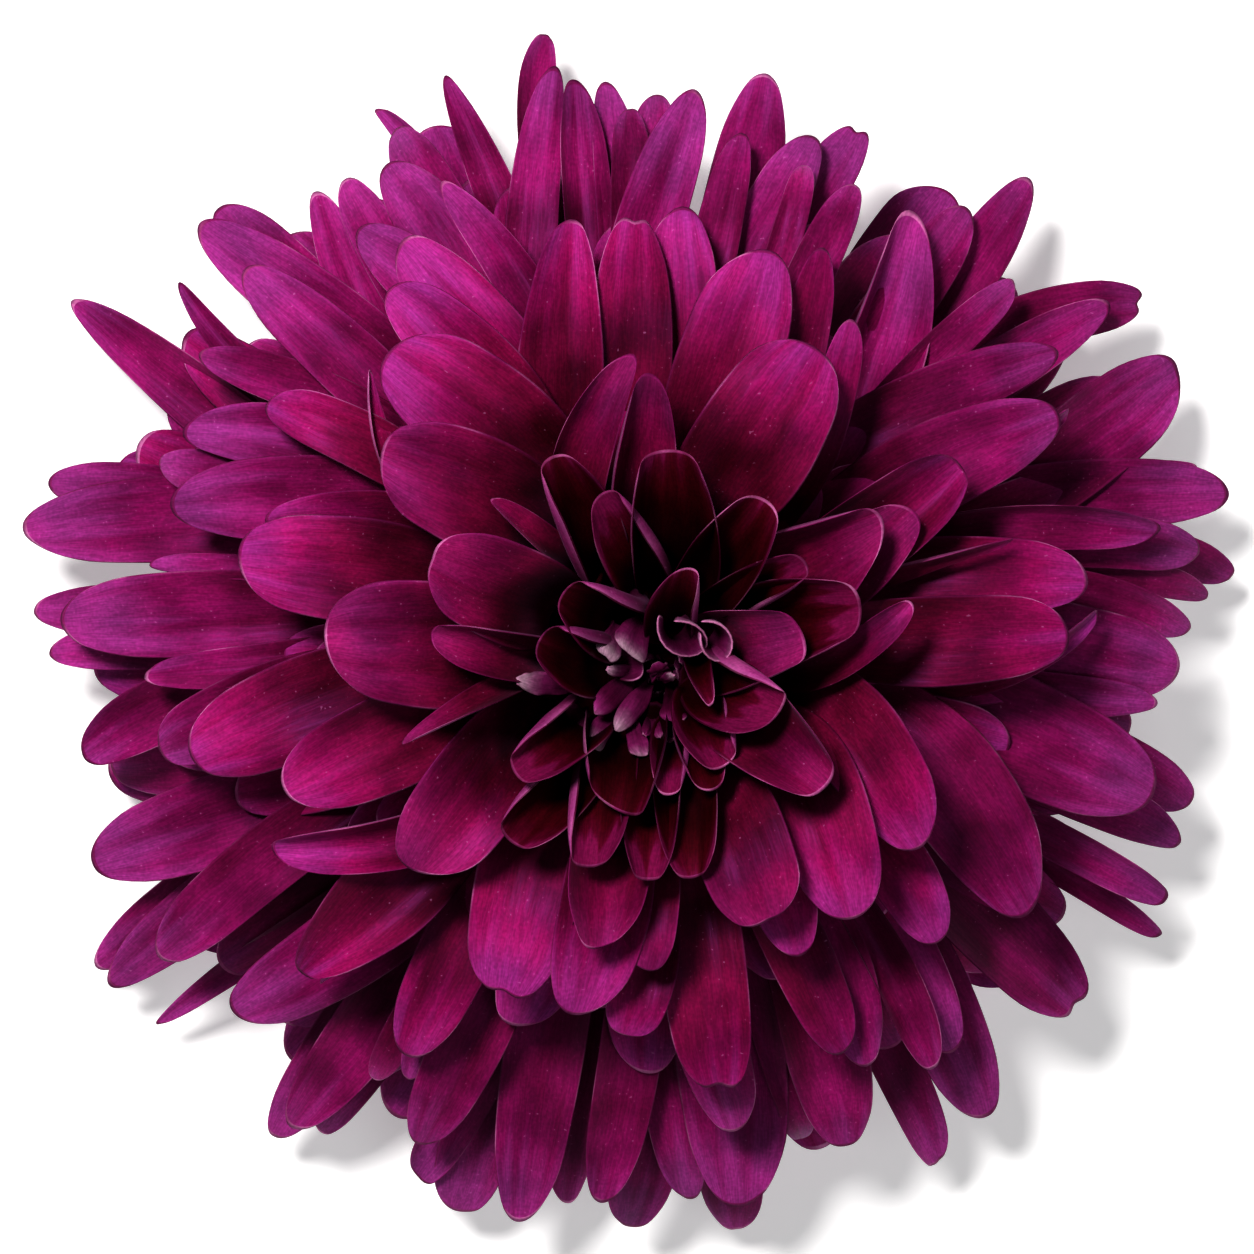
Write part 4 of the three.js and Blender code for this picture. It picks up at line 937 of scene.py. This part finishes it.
def leaf_material(name, stops, streak, roughness=0.6):
    """Green tissue: colour along the blade, ribs, and a soft mottle."""
    material, tree, shader = new_material(name)
    place = add_node(tree, "ShaderNodeSeparateXYZ")
    tree.links.new(uv(tree, "blade"), place.inputs[0])
    from_rib = off_middle(tree, place.outputs["X"])
    ribs = noise(tree, mapped(tree, uv(tree, "vein"), RIB_SCALE), 3, 0.6)
    coords = add_node(tree, "ShaderNodeTexCoord").outputs["Object"]
    mottle = noise(tree, mapped(tree, coords, MOTTLE_SCALE), 3)
    colour = ramp(tree, place.outputs["Y"], stops)
    lift = remap(tree, ribs, *NARROW_RANGE, 1 - streak, 1 + streak)
    mottled = remap(tree, mottle, *NARROW_RANGE, 1 - MOTTLE_LIFT, 1 + MOTTLE_LIFT)
    colour = lightened(tree, colour, times(tree, lift, mottled))
    edge = remap(tree, from_rib, BRACT_EDGE_FROM, 0.5, 0, BRACT_EDGE_WEIGHT)
    colour = mix(tree, edge, colour, BRACT_EDGE)
    tree.links.new(colour, shader.inputs["Base Color"])
    rough = remap(tree, mottle, *WIDE_RANGE, roughness - 0.08, roughness + 0.1)
    tree.links.new(rough, shader.inputs["Roughness"])
    roughen(tree, shader, plus(tree, ribs, mottle), GREEN_GRAIN, GREEN_BUMP_DEPTH)
    shader.inputs["Specular IOR Level"].default_value = 0.3
    return material


# Pieces

def lower_curve(k, draw):
    """A lower floret arches out and hangs, or bends down early and lies along the surface."""
    clock = math.radians(GOLDEN_ANGLE * k + LOWER_SWAY * draw())
    foot = k % FOOT_EVERY == 0 and k < FOOT_EVERY * FOOT_COUNT
    if foot:
        reach, tip_height, bend_height, bend_reach = FOOT_REACH + draw(), FOOT_LIFT, FOOT_LIFT, FOOT_BEND
    else:
        reach, tip_height = draw.between(*LOWER_REACH), draw.between(*LOWER_TIP)
        bend_height, bend_reach = tip_height + LOWER_ARCH, reach * LOWER_BEND
    curve = (
        on_axis(clock, RECEPTACLE_RADIUS - LOWER_INSET, LOWER_BASE_HEIGHT),
        on_axis(clock, bend_reach, bend_height),
        on_axis(clock, reach, tip_height),
    )
    return curve, "foot" if foot else "blunt"


def lift_off_surface(bm):
    """What lies on the surface is flat there."""
    for vert in bm.verts:
        vert.co.z = max(vert.co.z, (BLADE_THICKNESS + SURFACE_GAP) * MM)


def ray_piece(name, rows, materials, draw, thickness=BLADE_THICKNESS, at_margin=MARGIN_THICKNESS):
    bm = blade_bmesh()
    for row in rows:
        add_blade(bm, visible_curve(row), row[4] * PIXEL, FORMS[row[6]], draw)
    piece = finish_piece(bm, name, materials, "petal", "ray_florets")
    thicken(piece, thickness, at_margin)
    return piece


def lower_piece(materials):
    draw = SeededDraw(LOWER_SEED)
    looks = SeededDraw(LOWER_LOOKS_SEED)
    bm = blade_bmesh()
    for k in range(LOWER_COUNT):
        curve, form = lower_curve(k, draw)
        add_blade(bm, curve, LOWER_WIDTH, FORMS[form], looks)
    lift_off_surface(bm)
    piece = finish_piece(bm, "lower_florets", materials, "petal", "ray_florets")
    thicken(piece, BLADE_THICKNESS)
    return piece


def covered_curve(k, reach, depth):
    """A floret below the dome of tips, out from the receptacle by the golden angle."""
    clock = math.radians(GOLDEN_ANGLE * k)
    share = reach / BLOOM_RADIUS
    polar = math.radians(FIRST_POLAR + POLAR_SPREAD * share ** POLAR_POWER)
    tip_height = dome_height(reach) - depth
    base_height = RECEPTACLE_FOOT + RECEPTACLE_RISE * math.cos(polar)
    return (
        on_axis(clock, RECEPTACLE_RADIUS * math.sin(polar), base_height),
        on_axis(clock, reach * HIDDEN_BEND, tip_height + TIP_ARCH * share ** 2 - CUP_DIP * (1 - share)),
        on_axis(clock, reach, tip_height),
    )


def hidden_piece(materials):
    """Florets of the same whorls that the ones above them cover."""
    looks = SeededDraw(HIDDEN_SEED)
    bm = blade_bmesh()
    for k in range(HIDDEN_COUNT):
        curve = covered_curve(k, looks.between(*HIDDEN_REACH), looks.between(*HIDDEN_DEPTH))
        add_blade(bm, curve, HIDDEN_WIDTH, FORMS["blunt"], looks, COVERED_FACES)
    for k in range(SKIRT_COUNT):
        clock = math.radians(GOLDEN_ANGLE * (k + 0.5))
        reach, tip_height = looks.between(*SKIRT_REACH), looks.between(*SKIRT_TIP)
        curve = (
            on_axis(clock, RECEPTACLE_RADIUS - LOWER_INSET, SKIRT_BASE_HEIGHT),
            on_axis(clock, reach * LOWER_BEND, tip_height + SKIRT_ARCH),
            on_axis(clock, reach, tip_height),
        )
        add_blade(bm, curve, LOWER_WIDTH, FORMS["strap"], looks, COVERED_FACES)
    for k in range(NECK_COUNT):
        curve = covered_curve(k, looks.between(*NECK_REACH), looks.between(*NECK_DEPTH))
        add_blade(bm, curve, HIDDEN_WIDTH, FORMS["blunt"], looks, COVERED_FACES)
    lift_off_surface(bm)
    piece = finish_piece(bm, "covered_florets", materials, "petal", "ray_florets")
    thicken(piece, BLADE_THICKNESS)
    return piece


def spun(bm, profile, steps):
    """Turns radius and height pairs about the axis."""
    verts = [bm.verts.new((radius * MM, 0, height * MM)) for radius, height in profile]
    edges = [bm.edges.new(pair) for pair in zip(verts, verts[1:])]
    bmesh.ops.spin(
        bm, geom=verts + edges, cent=(0, 0, 0), axis=(0, 0, 1), angle=2 * math.pi, steps=steps,
        use_merge=True, use_duplicate=False,
    )
    bmesh.ops.remove_doubles(bm, verts=bm.verts, dist=1e-6)
    bmesh.ops.recalc_face_normals(bm, faces=bm.faces)
    for face in bm.faces:
        face.smooth = True


def unwrap_turned(bm, low, high):
    """Clock angle across and height along, for pieces turned about the axis."""
    blade_uv = bm.loops.layers.uv["blade"]
    vein_uv = bm.loops.layers.uv["vein"]
    for face in bm.faces:
        middle = face.calc_center_median()
        centre_clock = math.atan2(middle.y, middle.x)
        for loop in face.loops:
            spot = loop.vert.co
            clock = math.atan2(spot.y, spot.x)
            if clock - centre_clock > math.pi:
                clock -= 2 * math.pi
            if centre_clock - clock > math.pi:
                clock += 2 * math.pi
            along = (spot.z / MM - low) / (high - low)
            loop[blade_uv].uv = (0.5, along)
            loop[vein_uv].uv = (clock * TURNED_VEINS, spot.z / MM / VEIN_ALONG)


def receptacle_piece(material):
    bm = blade_bmesh()
    profile = [(0, CORE_BOTTOM), (RECEPTACLE_RADIUS - CORE_INSET, CORE_BOTTOM)]
    for step in range(RECEPTACLE_STEPS + 1):
        polar = math.radians(90 * (1 - step / RECEPTACLE_STEPS))
        profile.append((
            (RECEPTACLE_RADIUS + RECEPTACLE_SKIN) * math.sin(polar),
            RECEPTACLE_FOOT + (RECEPTACLE_RISE - RECEPTACLE_SINK) * math.cos(polar),
        ))
    profile[-1] = (0, profile[-1][1])
    spun(bm, profile, RECEPTACLE_SIDES)
    unwrap_turned(bm, CORE_BOTTOM, RECEPTACLE_FOOT + RECEPTACLE_RISE)
    return finish_piece(bm, "receptacle", [material], "petal", "ray_florets")


def heart_piece(materials):
    draw = SeededDraw(YOUNG_SEED)
    looks = SeededDraw(YOUNG_LOOKS_SEED)
    bm = blade_bmesh()
    for tip_x, tip_y, base_x, base_y, width, height, form, tone in HEART_FLORETS:
        tip = from_view(tip_x, tip_y, height)
        base = from_view(base_x, base_y, height - (TUBE_RISE if form == "tube" else YOUNG_RISE))
        bend = (base + tip) / 2
        if form != "tube":
            bend.z = height + YOUNG_ARCH
        add_blade(bm, (base, bend, tip), width * PIXEL, FORMS[form], looks, tone=tone)
    for k in range(YOUNG_COUNT):
        clock = math.radians(GOLDEN_ANGLE * k)
        reach = YOUNG_SPREAD * math.sqrt((k + 0.5) / YOUNG_COUNT)
        height = draw.between(*YOUNG_HEIGHT)
        curve = (
            on_axis(clock, YOUNG_ROOT["share"] * reach, BUTTON_TOP - YOUNG_ROOT["below"]),
            on_axis(clock, YOUNG_BEND["share"] * reach, height - YOUNG_BEND["below"]),
            on_axis(clock, YOUNG_TIP * reach, height),
        )
        add_blade(bm, curve, YOUNG_WIDTH, FORMS["bud"], looks, tone=YOUNG_SHADED_TONE)
    piece = finish_piece(bm, "heart_florets_fine", materials, "young_petal", "heart_florets")
    thicken(piece, YOUNG_THICKNESS, YOUNG_MARGIN)
    return piece


def button_piece(material):
    bm = blade_bmesh()
    spun(bm, [
        (0, BUTTON_FLOOR),
        (BUTTON_RADIUS, BUTTON_FLOOR),
        (BUTTON_RADIUS, BUTTON_TOP - BUTTON_CROWN["shoulder"]),
        (BUTTON_RADIUS * BUTTON_CROWN["share"], BUTTON_TOP - BUTTON_CROWN["drop"]),
        (0, BUTTON_TOP + BUTTON_CROWN["rise"]),
    ], BUTTON_SIDES)
    unwrap_turned(bm, BUTTON_FLOOR, BUTTON_TOP)
    return finish_piece(bm, "heart_button", [material], "young_petal", "heart_florets")


def involucre_piece(materials):
    looks = SeededDraw(BRACT_SEED)
    bm = blade_bmesh()
    for tier, row in enumerate(BRACT_ROWS):
        for k in range(row["count"]):
            clock = 2 * math.pi * (k + tier / 2) / row["count"]
            curve = (
                on_axis(clock, row["reach"] * BRACT_ROOT["share"], CUP_FOOT + BRACT_ROOT["rise"]),
                on_axis(clock, row["reach"] * BRACT_BEND["share"], CUP_FOOT + BRACT_BEND["rise"]),
                on_axis(clock, row["reach"], row["height"]),
            )
            add_blade(bm, curve, row["width"], FORMS["pointed"], looks)
    piece = finish_piece(bm, "bracts", materials, "bract", "involucre")
    thicken(piece, BRACT_THICKNESS)
    return piece


def calyx_piece(material):
    bm = blade_bmesh()
    spun(bm, [
        (0, CUP_FOOT),
        (CUP_FOOT_RADIUS, CUP_FOOT),
        (CUP_RADIUS * CUP_BELLY["share"], CUP_FOOT + CUP_BELLY["rise"]),
        (CUP_RADIUS * CUP_SHOULDER["share"], CUP_FOOT + CUP_SHOULDER["rise"]),
        (CUP_RADIUS, CUP_RIM),
        (0, CUP_RIM),
    ], CUP_SIDES)
    unwrap_turned(bm, CUP_FOOT, CUP_RIM)
    return finish_piece(bm, "bract_cup", [material], "bract", "involucre")


def stem_piece(material, cut_material):
    bm = blade_bmesh()
    bmesh.ops.create_cone(
        bm, cap_ends=True, segments=STEM_SIDES, radius1=STEM_RADIUS * MM, radius2=STEM_RADIUS * MM,
        depth=(STEM_TOP - STEM_FOOT) * MM,
        matrix=Matrix.Translation((0, 0, (STEM_TOP + STEM_FOOT) / 2 * MM)),
    )
    for vert in bm.verts:
        clock = math.atan2(vert.co.y, vert.co.x)
        share = (STEM_RADIUS + STEM_RIB * math.cos(STEM_RIBS * clock)) / STEM_RADIUS
        vert.co.x *= share
        vert.co.y *= share
    for face in bm.faces:
        flat = abs(face.normal.z) > 0.5
        face.smooth = not flat
        face.material_index = 1 if flat else 0
    unwrap_turned(bm, STEM_FOOT, STEM_TOP)
    return finish_piece(bm, "stem_stub", [material, cut_material], "stem", "stem")


def reach_pixels(row):
    return math.hypot(row[0] - VIEW_MIDDLE[0], row[1] - VIEW_MIDDLE[1])


# Camera, light and floor

def photo_camera():
    """Looks along the line by which a point's height leans in the view."""
    target = from_view(IMAGE_SIZE / 2, IMAGE_SIZE / 2, VIEW_PLANE)
    towards = Vector((-VIEW_LEAN[0], -VIEW_LEAN[1], 1)).normalized()
    right = Vector((0, 1, 0)).cross(towards).normalized()
    up = towards.cross(right)
    data = bpy.data.cameras.new("photo_camera")
    data.sensor_width = SENSOR_WIDTH
    data.lens = SENSOR_WIDTH * VIEW_DISTANCE / (IMAGE_SIZE * PIXEL)
    data.clip_start = CLIP_START
    camera = add_object("photo_camera", data)
    place = target + towards * VIEW_DISTANCE
    turn = Matrix((right, up, towards)).transposed().to_4x4()
    camera.matrix_world = Matrix.Translation(place * MM) @ turn
    bpy.context.scene.camera = camera


def area_light(name, place, size, power, colour):
    data = bpy.data.lights.new(name, "AREA")
    data.shape = "DISK"
    data.size = size
    data.energy = power
    data.color = colour
    light = add_object(name, data)
    light.location = place
    light.rotation_euler = (Vector(LIGHT_TARGET) - Vector(place)).to_track_quat("-Z", "Y").to_euler()


def studio():
    world = bpy.data.worlds.new("studio")
    world.use_nodes = True
    tree = world.node_tree
    background = tree.nodes["Background"]
    height = add_node(tree, "ShaderNodeSeparateXYZ")
    tree.links.new(add_node(tree, "ShaderNodeTexCoord").outputs["Generated"], height.inputs[0])
    tree.links.new(ramp(tree, height.outputs["Z"], SURROUND_STOPS), background.inputs["Color"])
    background.inputs["Strength"].default_value = 1
    bpy.context.scene.world = world
    area_light("key", **KEY_LIGHT)
    area_light("fill", **FILL_LIGHT)
    bpy.context.scene.view_settings.view_transform = "Standard"
    bpy.context.scene.view_settings.gamma = VIEW_GAMMA


def floor():
    bm = bmesh.new()
    bmesh.ops.create_grid(bm, x_segments=1, y_segments=1, size=FLOOR_REACH)
    mesh = bpy.data.meshes.new("floor")
    bm.to_mesh(mesh)
    bm.free()
    material, _, shader = new_material("floor_white")
    shader.inputs["Base Color"].default_value = (*FLOOR_SHADE, 1)
    shader.inputs["Roughness"].default_value = 0.9
    shader.inputs["Emission Color"].default_value = (1, 1, 1, 1)
    shader.inputs["Emission Strength"].default_value = FLOOR_GLOW
    mesh.materials.append(material)
    add_object("floor", mesh)


# The bloom

photo_camera()
studio()
floor()

inner_petal = petal_set("inner", INNER_STOPS, CRIMSON, REVERSE_STOPS, RIM_STOPS)
petal = petal_set("petal", PETAL_STOPS, CRIMSON, REVERSE_STOPS, RIM_STOPS)
outer_petal = petal_set("outer", OUTER_STOPS, OUTER_CRIMSON, REVERSE_STOPS, RIM_STOPS)
cup = petal_set(
    "cup", CUP_STOPS, CUP_CRIMSON, CUP_REVERSE_STOPS, CUP_RIM_STOPS,
    tint_shift=0.11, lip=0.24, down_weight=0, shine=CUP_SHINE, gloss=0.2, dust=0,
)
young = petal_set(
    "young", HEART_STOPS, YOUNG_PURPLE, HEART_STOPS, HEART_RIM_STOPS,
    tint_shift=0.45, down_weight=0, gloss=0.22, grain=0.25, dust=0,
)
bract = leaf_material("bract_green", GREEN_STOPS, 0.2)
stalk = leaf_material("stalk_green", GREEN_STOPS, 0.2)
cut_end = leaf_material("cut_end", CUT_STOPS, 0.1)

draw = SeededDraw(BLOOM_SEED)
cups = [row for row in FLORETS if row[6].startswith("cup_")]
others = [row for row in FLORETS if not row[6].startswith("cup_")]
slim_cups = [row for row in others if row[6] == "slim_cup"]
inner = [row for row in others if reach_pixels(row) < INNER_REACH and row not in slim_cups]
middle = [row for row in others if INNER_REACH <= reach_pixels(row) < MIDDLE_REACH]
outer = [row for row in others if reach_pixels(row) >= MIDDLE_REACH]
half = len(outer) // 2
ray_piece("cup_florets", cups, cup, draw, CUP_THICKNESS, CUP_MARGIN)
ray_piece("inner_florets", inner, inner_petal, draw)
ray_piece("slim_cup_floret", slim_cups, cup, draw, CUP_THICKNESS, CUP_MARGIN)
ray_piece("middle_florets", middle, petal, draw)
ray_piece("outer_florets_left", outer[:half], outer_petal, draw)
ray_piece("outer_florets_right", outer[half:], outer_petal, draw)
lower_piece(outer_petal)
hidden_piece(petal)
receptacle_piece(cup[0])
heart_piece(young)
button_piece(cup[0])
involucre_piece((bract, bract, bract))
calyx_piece(bract)
stem_piece(stalk, cut_end)
